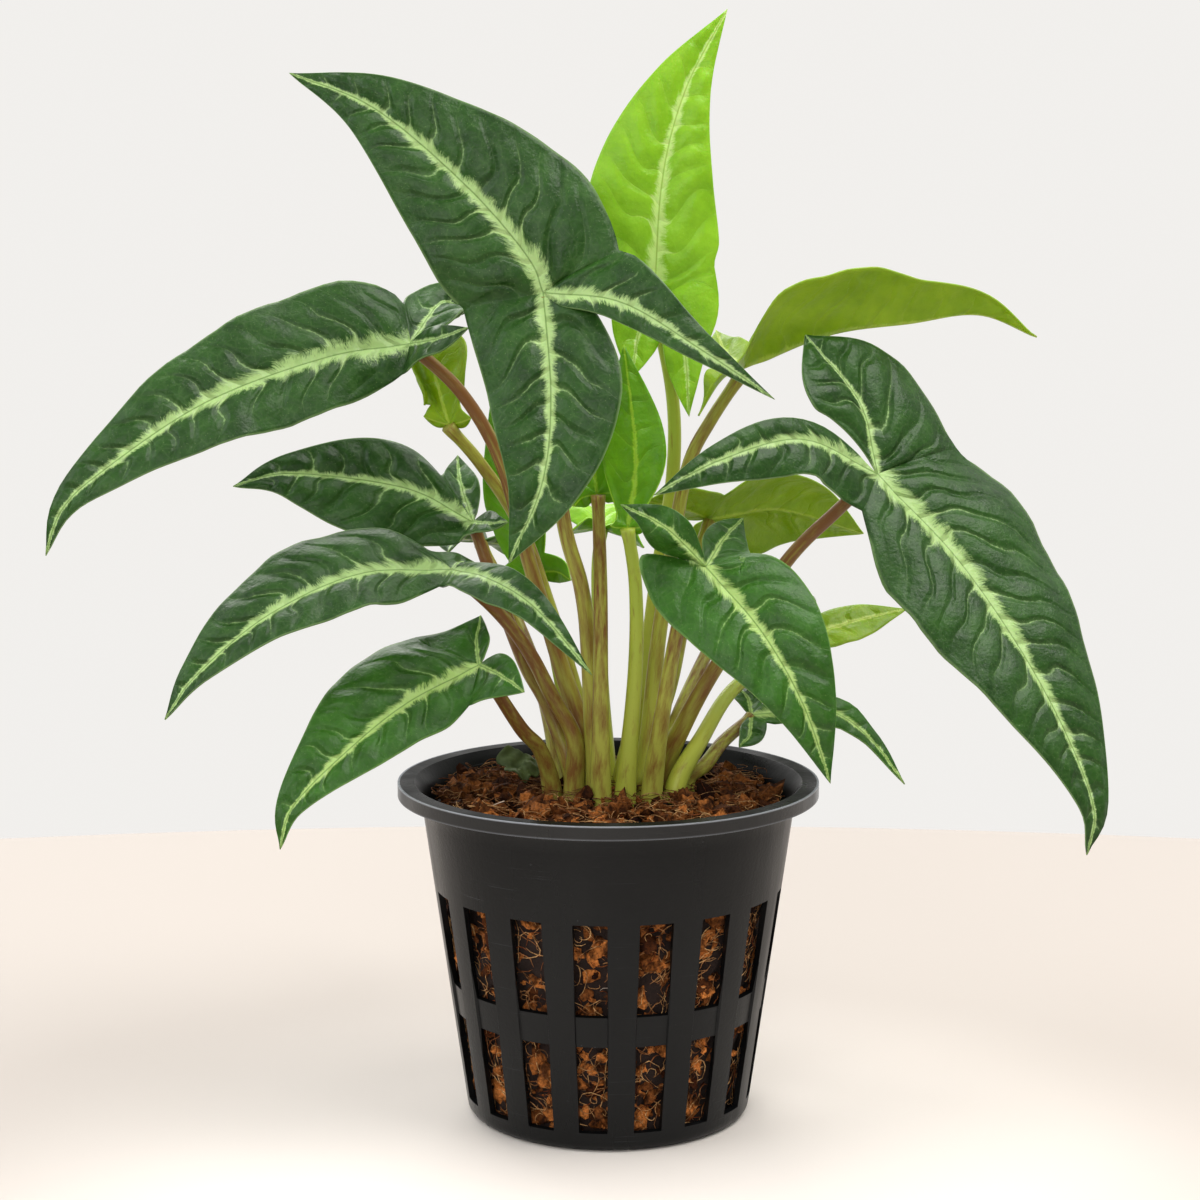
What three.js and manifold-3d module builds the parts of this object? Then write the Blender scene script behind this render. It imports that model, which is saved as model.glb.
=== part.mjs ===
// Potted syngonium wendlandii in a black net pot.
// Millimetres, +Z up. The origin is the centre of the pot's underside, and the plant's front faces -Y.
import * as THREE from 'three';
import { mergeVertices } from 'three/addons/utils/BufferGeometryUtils.js';
import Module from 'manifold-3d';

const wasm = await Module();
wasm.setup();

// Pot
const POT_HEIGHT = 90.2;
const FOOT_RADIUS = 37.65;
const NECK_RADIUS = 50.4;
const RIM_RADIUS = 56;
const RIM_DROP = 4.2;
const RIM_TOP_WIDTH = 5.4;
const WALL = 1.6;
const FOOT_ROUND = 3;
const SLOTS = 17;
const SLOT_START = -5.75;
const SLOT_ANGLE = 11;
const LOW_SLOT = [5.3, 29.1];
const HIGH_SLOT = [37.3, 62.4];
const SLOT_DEPTH = 12;
const RING_RECESS = 0.5;
const RING_LAP = 1;
const FLOOR_SLOTS = 8;
const FLOOR_SLOT = { from: 11, to: 29, width: 5 };
const FACETS = 48;

// Growing medium
const MEDIUM_TOP = 86;
const MEDIUM_BUMP = 1.4;
const MEDIUM_MOUND = 2;
const MEDIUM_GAP = 0.45;
const MEDIUM_FACETS = 40;

// Leaf scrap
const SCRAP = {
  place: [-23, 6, 92.8],
  turn: [0.55, 0.1, 0],
  radius: 6.5,
  crumple: 1.2,
  sides: 14,
  rings: 3,
};

// Leaves
const BLADE_THICKNESS = 0.8;
const BLADE_FOLD = 0.22;
const BLADE_ARCH_RADIUS = 55;
const WAVE_HEIGHT = 0.9;
const WAVE_LENGTH = 26;
const STALK_GAP = 0.3;
const STALK_FOOT_RADIUS = 2.5;
const STALK_TOP_RADIUS = 1.45;
const STALK_SIDES = 6;
const STALK_SINK = 9;
const STALK_HOLE_GAP = 0.3;
const STALK_STEPS = 10;
const STALK_FITS = 6;
const COLUMNS = 2;
const FRONT_ROWS = 9;
const SIDE_ROWS = 6;
const JOIN_PART = 0.14;

// Each leaf: its hub, where the stalk meets the blade; the face, which is the way its upper side looks
// there; and its lobes. A lobe has the points of its midrib from the hub to its tip and, for its left and
// its right as seen from above, its greatest half-width and how far along it is widest. The front lobe's left
// and right each have a notch: its distance from the hub, and where it lies on the turn from the front lobe
// to the side lobe. A lobe with a back has a shoulder that reaches back past the hub on that side. The stalk
// runs from its foot to the hub. A leaf with a fold of its own is more or less cupped than the rest.
const DARK = 0x24523a;
const GREEN = 0x2a5a36;
const LIME = 0x76b02e;
const OLIVE = 0x7d9c2e;
const STALK_COLOUR = 0x9a7a48;
const LEAVES = {
  a: {
    hub: [-16, -38, 220], face: [-0.15, -0.9, 0.4], colour: DARK, notches: [[20, 0.5], [21, 0.66]],
    front: { points: [[-20, -37, 229], [-35, -32, 246], [-58, -24, 265], [-80, -16, 274]],
      widths: [16.5, 18.5], widest: [0.32, 0.29] },
    left: { points: [[-14, -50, 195], [-16, -58, 175], [-24, -60, 156]],
      widths: [18, 13], widest: [0.36, 0.45] },
    right: { points: [[3, -46, 218], [22, -52, 207], [40, -54, 195]],
      widths: [6, 5], widest: [0.35, 0.35] },
    stalk: [[-3, -7], [-5, -10, 126], [-7, -15, 144], [-12, -22, 166]],
  },
  b: {
    hub: [69, -14, 173], face: [0.43, -0.78, 0.46], colour: DARK, notches: [[27, 0.5], [14, 0.5]],
    front: { points: [[90, -22, 151], [109, -34, 122], [121, -42, 94], [120, -43, 80]],
      widths: [25, 24], widest: [0.27, 0.32] },
    left: { points: [[65, -7, 191], [51, -1, 208]], widths: [16, 18], widest: [0.62, 0.55] },
    right: { points: [[49, -26, 183], [28, -38, 179], [11, -46, 171]],
      widths: [9, 6], widest: [0.5, 0.5] },
    stalk: [[13.5, 2.5], [22, 0, 109], [33, -2, 128], [47, -6, 150], [59, -10, 163]],
  },
  c: {
    hub: [24, -44, 153], face: [0.1, -0.9, 0.38], colour: GREEN, notches: [[12, 0.6], [4, 0.93]],
    front: { points: [[37, -54, 139], [47, -60, 122], [54, -60, 102]],
      widths: [16, 17], widest: [0.3, 0.3], back: [4, 17] },
    left: { points: [[29, -34, 159], [34, -26, 163]], widths: [5, 6], widest: [0.5, 0.5] },
    right: { points: [[14, -46, 163], [3, -40, 168]], widths: [4, 5], widest: [0.5, 0.5] },
    stalk: [[11.5, -9.5], [14, -14, 110], [18, -20, 135], [20.5, -29, 145]],
  },
  d: {
    hub: [-51, -8, 206], face: [-0.25, -0.9, 0.42], colour: DARK, notches: [[10, 0.5], [14, 0.75]],
    front: {
      points: [[-72, -14, 203], [-102, -24, 192], [-127, -34, 175], [-136, -37, 166], [-140, -38, 155]],
      widths: [15.5, 16], widest: [0.34, 0.34],
    },
    left: { points: [[-43, -20, 208], [-35, -26, 211]], widths: [4, 5], widest: [0.5, 0.5] },
    right: { points: [[-44, 8, 216], [-38, 16, 213]], widths: [9, 9], widest: [0.5, 0.5] },
    stalk: [[-2.3, -1.3], [-13, 1, 122], [-21, 0, 149], [-28, -2, 175], [-38, -4, 193]],
  },
  e: {
    hub: [-36, 8, 158], face: [-0.1, -0.85, 0.5], colour: DARK, notches: [[8, 0.5], [17, 0.62]],
    front: { points: [[-54, 10, 167], [-84, 8, 171], [-99, 4, 168]],
      widths: [16.5, 18], widest: [0.42, 0.2] },
    left: { points: [[-31, -3, 159], [-26, -8, 160]], widths: [4, 4], widest: [0.5, 0.5] },
    right: { points: [[-40, 20, 168], [-41, 28, 174]], widths: [6, 5], widest: [0.5, 0.5] },
    stalk: [[-8.5, -1], [-16, 4, 109], [-22, 5, 120], [-29, 6, 138]],
  },
  f: {
    hub: [-40, -20, 149], face: [-0.2, -0.65, 0.73], colour: DARK, notches: [[8, 0.5], [10, 0.5]],
    front: { points: [[-63, -26, 149], [-85, -36, 140], [-102, -43, 126], [-110, -46, 115]],
      widths: [14, 16], widest: [0.3, 0.38] },
    left: { points: [[-30, -36, 149], [-18, -46, 143], [-4, -50, 127]],
      widths: [5, 6], widest: [0.4, 0.4] },
    right: { points: [[-38, -13, 150], [-32, -6, 147]], widths: [4, 4], widest: [0.5, 0.5] },
    stalk: [[-9, -7.5], [-9, -9, 103], [-15, -10, 115], [-21, -12, 127], [-29, -16, 138]],
  },
  g: {
    hub: [-33, -24, 125], face: [-0.3, -0.85, 0.45], colour: GREEN, notches: [[14, 0.5], [19, 0.5]],
    front: { points: [[-51, -34, 117], [-66, -44, 106], [-78, -51, 94], [-81, -54, 84]],
      widths: [14, 17], widest: [0.24, 0.32] },
    left: { points: [[-27, -34, 124], [-21, -40, 121]], widths: [5.5, 8], widest: [0.5, 0.5] },
    right: { points: [[-34, -17, 130], [-33, -12, 136]], widths: [9, 4], widest: [0.5, 0.5] },
    stalk: [[-15, -5], [-18, -9, 100], [-23, -14, 107]],
  },
  h: {
    hub: [12, 4, 217], face: [0.1, -0.95, 0.1], colour: LIME, notches: [[15, 0.5], [17, 0.5]],
    front: { points: [[14, 4, 248], [20, 8, 271], [31, 14, 292]],
      widths: [18, 12.5], widest: [0.3, 0.3] },
    left: { points: [[8, 0, 209], [6, -4, 197]], widths: [6, 6], widest: [0.5, 0.5] },
    right: { points: [[19, 0, 209], [21, -4, 187]], widths: [4, 6], widest: [0.5, 0.5] },
    stalk: [[4, 4], [9, 6, 111], [13, 8, 143], [17, 9, 169], [17, 10, 191]],
  },
  i: {
    hub: [35, 4, 199], face: [-0.15, 0.4, 0.9], colour: OLIVE, notches: [[9, 0.5], [10, 0.5]], fold: 0.8,
    front: { points: [[58, 9, 208], [80, 12, 211], [98, 12, 213], [113, 10, 207]],
      widths: [14, 18], widest: [0.42, 0.27] },
    left: { points: [[31, 16, 203], [29, 26, 208]], widths: [4, 4], widest: [0.5, 0.5] },
    right: { points: [[29, -8, 197], [23, -14, 188]], widths: [3, 4], widest: [0.5, 0.5] },
    stalk: [[6.5, -3], [10, -3, 95], [13, -1, 126], [17, 1, 153], [21, 1, 174], [27, 1, 186]],
  },
  j: {
    hub: [5, -20, 160], face: [0.1, 0.95, 0.2], colour: LIME, notches: [[5, 0.5], [5, 0.5]],
    front: { points: [[7, -17, 178], [4, -9, 206]], widths: [8, 9], widest: [0.42, 0.42] },
    left: { points: [[7.5, -20.5, 160], [9.5, -21, 160.5]], widths: [2, 2.5], widest: [0.5, 0.5] },
    right: { points: [[2.5, -20.5, 160], [0.5, -21, 160.5]], widths: [2.5, 2], widest: [0.5, 0.5] },
    stalk: [[4.5, -12], [7, -14, 122], [7, -17, 144]],
  },
  k: {
    hub: [28, 34, 156], face: [0, 0.7, 0.7], colour: OLIVE, notches: [[9, 0.5], [9, 0.5]],
    front: { points: [[48, 42, 158], [72, 50, 150]], widths: [20, 14], widest: [0.42, 0.42] },
    left: { points: [[28, 41, 150], [27, 44, 144]], widths: [5, 4], widest: [0.5, 0.5] },
    right: { points: [[20, 28, 160], [10, 24, 162]], widths: [8, 8], widest: [0.5, 0.5] },
    stalk: [[7, 11], [16, 16, 110], [21, 22, 132], [25, 29, 148]],
  },
  l: {
    hub: [53, 36, 122], face: [0.1, -0.6, 0.8], colour: LIME, notches: [[4, 0.5], [4, 0.5]],
    front: { points: [[68, 42, 126], [84, 46, 129]], widths: [6, 8], widest: [0.42, 0.42] },
    left: { points: [[50, 42, 124], [44, 46, 124]], widths: [3, 3], widest: [0.5, 0.5] },
    right: { points: [[50, 30, 121], [46, 26, 119]], widths: [3, 3], widest: [0.5, 0.5] },
    stalk: [[18, -3.5], [25, 2, 101], [33, 14, 111], [44, 27, 117]],
  },
  m: {
    hub: [39, 18, 104], face: [0.1, -0.6, 0.8], colour: GREEN, notches: [[5, 0.5], [5, 0.5]],
    front: { points: [[60, 24, 104], [72, 26, 96], [82, 26, 83]], widths: [5, 5], widest: [0.4, 0.4] },
    left: { points: [[38, 26, 108], [34, 32, 110]], widths: [4, 4], widest: [0.5, 0.5] },
    right: { points: [[38, 10, 100], [35, 4, 98]], widths: [4, 3], widest: [0.5, 0.5] },
    stalk: [[21, 3], [26, 5, 93], [31, 11, 98]],
  },
  n: {
    hub: [-42, 8, 184], face: [0.3, 0.85, 0.4], colour: OLIVE, notches: [[7, 0.5], [8, 0.5]],
    front: { points: [[-46, 13, 198], [-50, 19, 214]], widths: [13, 15], widest: [0.45, 0.45] },
    left: { points: [[-38.5, 6.5, 185], [-36, 5.5, 186]], widths: [2, 4], widest: [0.5, 0.5] },
    right: { points: [[-46, 10, 185], [-49, 11.5, 186]], widths: [5, 2], widest: [0.5, 0.5] },
    stalk: [[-6, 5], [-9, 7, 112], [-17, 12, 138], [-24, 15, 157], [-34, 13, 173]],
  },
  o: {
    hub: [-2, 46, 152], face: [0, 0.6, 0.8], colour: LIME, notches: [[7, 0.5], [7, 0.5]],
    front: { points: [[-4, 62, 156], [-8, 82, 150]], widths: [11, 11], widest: [0.42, 0.42] },
    left: { points: [[-9, 42, 152], [-13, 37, 150]], widths: [5, 5], widest: [0.5, 0.5] },
    right: { points: [[6, 44, 150], [10, 41, 147]], widths: [5, 5], widest: [0.5, 0.5] },
    stalk: [[-0.5, 10.5], [-2, 21, 115], [-3, 36, 140]],
  },
  q: {
    hub: [-3, -14, 168], face: [-0.3, 0.9, 0.2], colour: LIME, notches: [[5, 0.5], [5, 0.5]],
    front: { points: [[-5, -11, 184], [-7, -7, 204]], widths: [6, 7], widest: [0.42, 0.42] },
    left: { points: [[1, -13, 168], [4, -13, 166]], widths: [3, 3], widest: [0.5, 0.5] },
    right: { points: [[-7, -15, 167], [-9, -17, 165]], widths: [3, 3], widest: [0.5, 0.5] },
    stalk: [[-2, -13], [-2, -16, 122], [-2, -16, 144]],
  },
  r: {
    hub: [-21, 24, 142], face: [0.2, 0.9, 0.3], colour: LIME, notches: [[7, 0.5], [7, 0.5]],
    front: { points: [[-27, 28, 164], [-32, 28, 188]], widths: [8, 8], widest: [0.42, 0.42] },
    left: { points: [[-14, 22, 143], [-10, 18, 141]], widths: [4, 4], widest: [0.5, 0.5] },
    right: { points: [[-27, 26, 139], [-30, 25, 134]], widths: [4, 4], widest: [0.5, 0.5] },
    stalk: [[-8, 11], [-12, 15, 110], [-16, 19, 128]],
  },
  s: {
    hub: [-36, 48, 148], face: [-0.2, 0.5, 0.85], colour: DARK, notches: [[9, 0.5], [9, 0.5]],
    front: { points: [[-50, 66, 152], [-60, 88, 146], [-66, 106, 132]],
      widths: [14, 14], widest: [0.36, 0.36] },
    left: { points: [[-42, 39, 150], [-44, 31, 147]], widths: [6, 6], widest: [0.5, 0.5] },
    right: { points: [[-26, 52, 146], [-19, 52, 141]], widths: [6, 6], widest: [0.5, 0.5] },
    stalk: [[-12.5, 5.5], [-18, 16, 112], [-28, 34, 134]],
  },
  t: {
    hub: [36, 46, 132], face: [0.3, 0.5, 0.8], colour: DARK, notches: [[8, 0.5], [8, 0.5]],
    front: { points: [[46, 66, 132], [54, 86, 120], [58, 98, 102]],
      widths: [12, 12], widest: [0.36, 0.36] },
    left: { points: [[28, 48, 132], [22, 46, 131]], widths: [4, 4], widest: [0.5, 0.5] },
    right: { points: [[42, 41, 132], [44, 35, 130]], widths: [4, 4], widest: [0.5, 0.5] },
    stalk: [[13.5, 9], [19, 16, 104], [28, 33, 120]],
  },
};

// Helpers
const vec = (point) => new THREE.Vector3(...point);

function toSolid(geometry) {
  const plain = new THREE.BufferGeometry();
  plain.setAttribute('position', geometry.getAttribute('position'));
  plain.setIndex(geometry.getIndex());
  const merged = mergeVertices(plain, 1e-4);
  return new wasm.Manifold(new wasm.Mesh({
    numProp: 3,
    vertProperties: new Float32Array(merged.getAttribute('position').array),
    triVerts: new Uint32Array(merged.getIndex().array),
  }));
}

function toGeometry(solid) {
  const mesh = solid.getMesh();
  const geometry = new THREE.BufferGeometry();
  geometry.setAttribute('position', new THREE.BufferAttribute(new Float32Array(mesh.vertProperties), 3));
  geometry.setIndex(Array.from(mesh.triVerts));
  return geometry;
}

const plant = new THREE.Group();

function addPiece(name, geometry, colour, roughness) {
  const finished = geometry.clone();
  finished.computeVertexNormals();
  const material = new THREE.MeshStandardMaterial({ color: colour, roughness, metalness: 0 });
  const mesh = new THREE.Mesh(finished, material);
  mesh.name = name;
  plant.add(mesh);
}

// Pot: a turned shell with upright slots cut through it
const wallRadius = (z) => FOOT_RADIUS + (NECK_RADIUS - FOOT_RADIUS) * z / POT_HEIGHT;

function turned(profile, facets) {
  const points = profile.map(([radius, z]) => new THREE.Vector2(radius, z));
  const geometry = new THREE.LatheGeometry(points, facets);
  geometry.rotateX(Math.PI / 2);
  return geometry;
}

function slotCutter(angle, [low, high], innerRadius) {
  const width = 2 * wallRadius((low + high) / 2) * Math.sin(THREE.MathUtils.degToRad(SLOT_ANGLE / 2));
  const outer = NECK_RADIUS + SLOT_DEPTH;
  const cutter = new THREE.BoxGeometry(width, outer - innerRadius, high - low);
  cutter.translate(0, -(outer + innerRadius) / 2, (low + high) / 2);
  cutter.rotateZ(THREE.MathUtils.degToRad(angle));
  return toSolid(cutter);
}

function makePot() {
  const innerTop = RIM_RADIUS - RIM_TOP_WIDTH;
  const lipUnder = POT_HEIGHT - RIM_DROP;
  const shell = turned([
    [0, 0], [FOOT_RADIUS - FOOT_ROUND, 0], [FOOT_RADIUS - 0.6, 0.9], [wallRadius(FOOT_ROUND), FOOT_ROUND],
    [wallRadius(lipUnder) - 0.8, lipUnder - 1], [RIM_RADIUS - 1.6, lipUnder - 0.4],
    [RIM_RADIUS, lipUnder + 1], [RIM_RADIUS, POT_HEIGHT - 1], [RIM_RADIUS - 1.2, POT_HEIGHT],
    [innerTop, POT_HEIGHT - 0.6], [wallRadius(lipUnder - 3) - WALL, lipUnder - 3],
    [wallRadius(WALL + 1) - WALL, WALL + 1], [wallRadius(WALL + 1) - WALL - 1, WALL], [0, WALL],
  ], FACETS);
  let pot = toSolid(shell);
  for (let slot = 0; slot < SLOTS; slot += 1) {
    const angle = SLOT_START + slot * 360 / SLOTS;
    for (const row of [LOW_SLOT, HIGH_SLOT]) {
      pot = pot.subtract(slotCutter(angle, row, FOOT_RADIUS - SLOT_DEPTH));
    }
    const band = [LOW_SLOT[1] - RING_LAP, HIGH_SLOT[0] + RING_LAP];
    pot = pot.subtract(slotCutter(angle, band, wallRadius((band[0] + band[1]) / 2) - RING_RECESS));
  }
  for (let slot = 0; slot < FLOOR_SLOTS; slot += 1) {
    const cutter = new THREE.BoxGeometry(FLOOR_SLOT.width, FLOOR_SLOT.to - FLOOR_SLOT.from, 4 * WALL);
    cutter.translate(0, -(FLOOR_SLOT.to + FLOOR_SLOT.from) / 2, 0);
    cutter.rotateZ(THREE.MathUtils.degToRad(SLOT_START + slot * 360 / FLOOR_SLOTS));
    pot = pot.subtract(toSolid(cutter));
  }
  return toGeometry(pot);
}

// Stalk: a tapered tube along a smooth curve
function tube(points, footRadius, topRadius) {
  const curve = new THREE.CatmullRomCurve3(points, false, 'catmullrom', 0.5);
  const section = new THREE.Shape();
  for (let side = 0; side < STALK_SIDES; side += 1) {
    const angle = 2 * Math.PI * side / STALK_SIDES;
    const place = [Math.cos(angle), Math.sin(angle)];
    if (side === 0) section.moveTo(...place);
    else section.lineTo(...place);
  }
  const extrusion = { steps: STALK_STEPS, bevelEnabled: false, extrudePath: curve };
  const geometry = new THREE.ExtrudeGeometry(section, extrusion);
  const spine = curve.getSpacedPoints(STALK_STEPS);
  const position = geometry.getAttribute('position');
  const corner = new THREE.Vector3();
  for (let index = 0; index < position.count; index += 1) {
    corner.fromBufferAttribute(position, index);
    let nearest = 0;
    spine.forEach((point, step) => {
      if (point.distanceTo(corner) < spine[nearest].distanceTo(corner)) nearest = step;
    });
    const along = nearest / STALK_STEPS;
    const radius = THREE.MathUtils.lerp(footRadius, topRadius, Math.sqrt(along));
    corner.sub(spine[nearest]).setLength(radius).add(spine[nearest]);
    if (nearest === 0 || nearest === STALK_STEPS) {
      const flat = curve.getTangentAt(along);
      const offset = corner.clone().sub(spine[nearest]);
      corner.sub(flat.multiplyScalar(offset.dot(flat)));
    }
    position.setXYZ(index, corner.x, corner.y, corner.z);
  }
  return geometry;
}

// The stalk ends under the hub, short of it by the given reach
function stalkPoints(leaf, reach) {
  const [foot, ...route] = leaf.stalk;
  const end = vec(leaf.hub).addScaledVector(vec(leaf.face).normalize(), -reach);
  return [vec([...foot, MEDIUM_TOP - STALK_SINK]), vec([...foot, MEDIUM_TOP + 3]), ...route.map(vec), end];
}

// The reach is corrected until the gap between the stalk's top and the blade is right
function makeStalk(leaf, blade) {
  let reach = STALK_TOP_RADIUS;
  let points = stalkPoints(leaf, reach);
  for (let fit = 0; fit < STALK_FITS; fit += 1) {
    const solid = toSolid(tube(points, STALK_FOOT_RADIUS, STALK_TOP_RADIUS));
    reach += STALK_GAP - solid.minGap(blade, 4 * STALK_TOP_RADIUS);
    points = stalkPoints(leaf, reach);
  }
  return { points, geometry: tube(points, STALK_FOOT_RADIUS, STALK_TOP_RADIUS) };
}

// Blade: lobes laid out flat round the hub, then each bent along its own midrib
function makeLobe(leaf, lobe) {
  const hub = vec(leaf.hub);
  const face = vec(leaf.face).normalize();
  const curve = new THREE.CatmullRomCurve3([hub, ...lobe.points.map(vec)], false, 'catmullrom', 0.5);
  const length = curve.getLength();
  const start = curve.getTangentAt(0);
  const fold = leaf.fold ?? BLADE_FOLD;
  const frameAt = (along) => {
    const part = THREE.MathUtils.clamp(along / length, 0, 1);
    const point = curve.getPointAt(part);
    const tangent = curve.getTangentAt(part);
    if (along < 0) point.addScaledVector(tangent, along);
    const normal = face.clone().addScaledVector(tangent, -face.dot(tangent)).normalize();
    const left = normal.clone().cross(tangent);
    return { point, tangent, normal, left };
  };
  const place = (along, across, wave) => {
    const frame = frameAt(along);
    const out = Math.sqrt(across * across + 1) - 1;
    const lift = fold * out - across * across / (2 * BLADE_ARCH_RADIUS) + wave;
    return frame.point.addScaledVector(frame.left, across).addScaledVector(frame.normal, lift);
  };
  return { ...lobe, length, start, place, frameAt };
}

function lobeWidth(lobe, side, along) {
  const half = side > 0 ? 0 : 1;
  const back = lobe.back?.[half] ?? 0;
  const part = THREE.MathUtils.clamp((along + back) / (lobe.length + back), 0, 1);
  const power = Math.log(0.5) / Math.log(lobe.widest[half]);
  const shape = Math.sin(Math.PI * part ** power) ** 0.9 * (1 - 0.3 * part ** 3);
  return lobe.widths[half] * shape;
}

function waveAt(lobe, along, across) {
  const reach = Math.min(1, Math.abs(across) / Math.max(...lobe.widths));
  return WAVE_HEIGHT * Math.sin(2 * Math.PI * along / WAVE_LENGTH + 1.3 * Math.sign(across)) * reach * reach;
}

// A place on the flat leaf, given beside one lobe's midrib, carried to the bent leaf. Between the front lobe
// and a side lobe the two lobes' places are mixed, so the blade has no crease there.
function bendBlade(front, pair, own, along, across) {
  const distance = Math.hypot(along, across);
  const angle = own.turn + Math.atan2(across, along);
  const spread = 0.5 * Math.min(pair.notchPart, 1 - pair.notchPart);
  const swing = angle / pair.turn;
  const share = THREE.MathUtils.smoothstep(swing, pair.notchPart - spread, pair.notchPart + spread);
  const onLobe = (lobe, turn) => {
    const lobeAlong = distance * Math.cos(angle - turn);
    const lobeAcross = distance * Math.sin(angle - turn);
    return lobe.place(lobeAlong, lobeAcross, waveAt(lobe, lobeAlong, lobeAcross));
  };
  return onLobe(front, 0).lerp(onLobe(pair, pair.turn), share);
}

// One half of a lobe as rows from its midrib to its edge. The first rows end on the line from the hub to the
// notch, where the neighbouring half meets them, and the rest end on the free margin.
function halfRows(front, pair, own, side, notch, rows) {
  const joinRows = 2;
  const joinAlong = own.length * JOIN_PART;
  const joinAngle = pair.turn * pair.notchPart - own.turn;
  const notchAlong = notch * Math.cos(joinAngle);
  const back = own.back?.[side > 0 ? 0 : 1] ?? 0;
  const notchStep = back ? 0 : notch * Math.abs(Math.sin(joinAngle)) - lobeWidth(own, side, notchAlong);
  const grid = [];
  for (let row = 0; row <= rows; row += 1) {
    const joined = Math.min(1, row / joinRows);
    const free = Math.max(0, (row - joinRows) / (rows - joinRows));
    const rib = joinAlong * joined + (own.length - joinAlong) * free;
    let edge = [notch * joined * Math.cos(joinAngle), notch * joined * Math.sin(joinAngle)];
    if (notch === 0) {
      edge = [rib, side * lobeWidth(own, side, rib)];
    } else if (free > 0) {
      const along = THREE.MathUtils.lerp(back ? -back : notchAlong, own.length, back ? free ** 1.4 : free);
      const fade = (1 - free) ** 4;
      edge = [along, side * (lobeWidth(own, side, along) + notchStep * fade)];
    }
    const line = [];
    for (let column = 0; column <= COLUMNS; column += 1) {
      const share = column / COLUMNS;
      const along = THREE.MathUtils.lerp(rib, edge[0], share);
      line.push(bendBlade(front, pair, own, along, edge[1] * share));
    }
    grid.push(line);
  }
  return grid;
}

function makeBlade(leaf) {
  const front = makeLobe(leaf, leaf.front);
  const frame = front.frameAt(0);
  front.turn = 0;
  const corners = [];
  const faces = [];
  const addHalf = (pair, own, side, notch, rows) => {
    const grid = halfRows(front, pair, own, side, notch, rows);
    const first = corners.length;
    grid.flat().forEach((point) => corners.push(point));
    const at = (row, column) => first + row * (COLUMNS + 1) + column;
    for (let row = 0; row < rows; row += 1) {
      for (let column = 0; column < COLUMNS; column += 1) {
        const quad = [at(row, column), at(row + 1, column), at(row + 1, column + 1), at(row, column + 1)];
        if (side > 0) faces.push([quad[0], quad[1], quad[2]], [quad[0], quad[2], quad[3]]);
        else faces.push([quad[0], quad[2], quad[1]], [quad[0], quad[3], quad[2]]);
      }
    }
  };
  for (const side of [1, -1]) {
    const pair = makeLobe(leaf, side > 0 ? leaf.left : leaf.right);
    const turn = Math.atan2(pair.start.dot(frame.left), pair.start.dot(frame.tangent));
    pair.turn = turn * side < 0 ? turn + side * 2 * Math.PI : turn;
    const [notch, notchPart] = side > 0 ? leaf.notches[0] : leaf.notches[1];
    pair.notchPart = notchPart;
    addHalf(pair, front, side, notch, FRONT_ROWS);
    addHalf(pair, pair, -side, notch, SIDE_ROWS);
    addHalf(pair, pair, side, 0, SIDE_ROWS);
  }
  return thicken(corners, faces);
}

// The middle surface gets an upper and a lower face, split into triangles alike, and a rim between them
function thicken(corners, faces) {
  const sheet = new THREE.BufferGeometry().setFromPoints(corners);
  sheet.setIndex(faces.flat());
  const merged = mergeVertices(sheet, 1e-3);
  const index = merged.getIndex().array;
  const kept = [];
  for (let face = 0; face < index.length; face += 3) {
    const [a, b, c] = index.slice(face, face + 3);
    if (a !== b && b !== c && c !== a) kept.push([a, b, c]);
  }
  merged.setIndex(kept.flat());
  merged.computeVertexNormals();
  const position = merged.getAttribute('position');
  const normal = merged.getAttribute('normal');
  const count = position.count;
  const both = new Float32Array(count * 6);
  for (let corner = 0; corner < count; corner += 1) {
    const point = new THREE.Vector3().fromBufferAttribute(position, corner);
    const out = new THREE.Vector3().fromBufferAttribute(normal, corner).multiplyScalar(BLADE_THICKNESS / 2);
    point.clone().add(out).toArray(both, corner * 3);
    point.clone().sub(out).toArray(both, (count + corner) * 3);
  }
  const edges = new Set(kept.flatMap(([a, b, c]) => [`${a},${b}`, `${b},${c}`, `${c},${a}`]));
  const triangles = [];
  for (const [a, b, c] of kept) {
    triangles.push(a, b, c, a + count, c + count, b + count);
    for (const [from, to] of [[a, b], [b, c], [c, a]]) {
      if (edges.has(`${to},${from}`)) continue;
      triangles.push(to, from, from + count, to, from + count, to + count);
    }
  }
  const solid = new THREE.BufferGeometry();
  solid.setAttribute('position', new THREE.BufferAttribute(both, 3));
  solid.setIndex(triangles);
  return solid;
}

// Leaf scrap: a small dried remnant, crumpled, that lies on the medium
function makeScrap() {
  const corners = [];
  const faces = [];
  for (let ring = 0; ring <= SCRAP.rings; ring += 1) {
    for (let step = 0; step < SCRAP.sides; step += 1) {
      const angle = 2 * Math.PI * step / SCRAP.sides;
      const radius = SCRAP.radius * ring / SCRAP.rings * (1 + 0.15 * Math.sin(3 * angle));
      const lift = SCRAP.crumple * (radius / SCRAP.radius) ** 2 * Math.sin(4 * angle + radius * 0.4);
      const point = new THREE.Vector3(radius * Math.cos(angle), radius * Math.sin(angle), lift);
      corners.push(point.applyEuler(new THREE.Euler(...SCRAP.turn)).add(vec(SCRAP.place)));
      if (ring === 0) continue;
      const next = (step + 1) % SCRAP.sides;
      const [inner, outer] = [(ring - 1) * SCRAP.sides, ring * SCRAP.sides];
      faces.push([inner + step, outer + step, outer + next], [inner + step, outer + next, inner + next]);
    }
  }
  return thicken(corners, faces);
}

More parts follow.
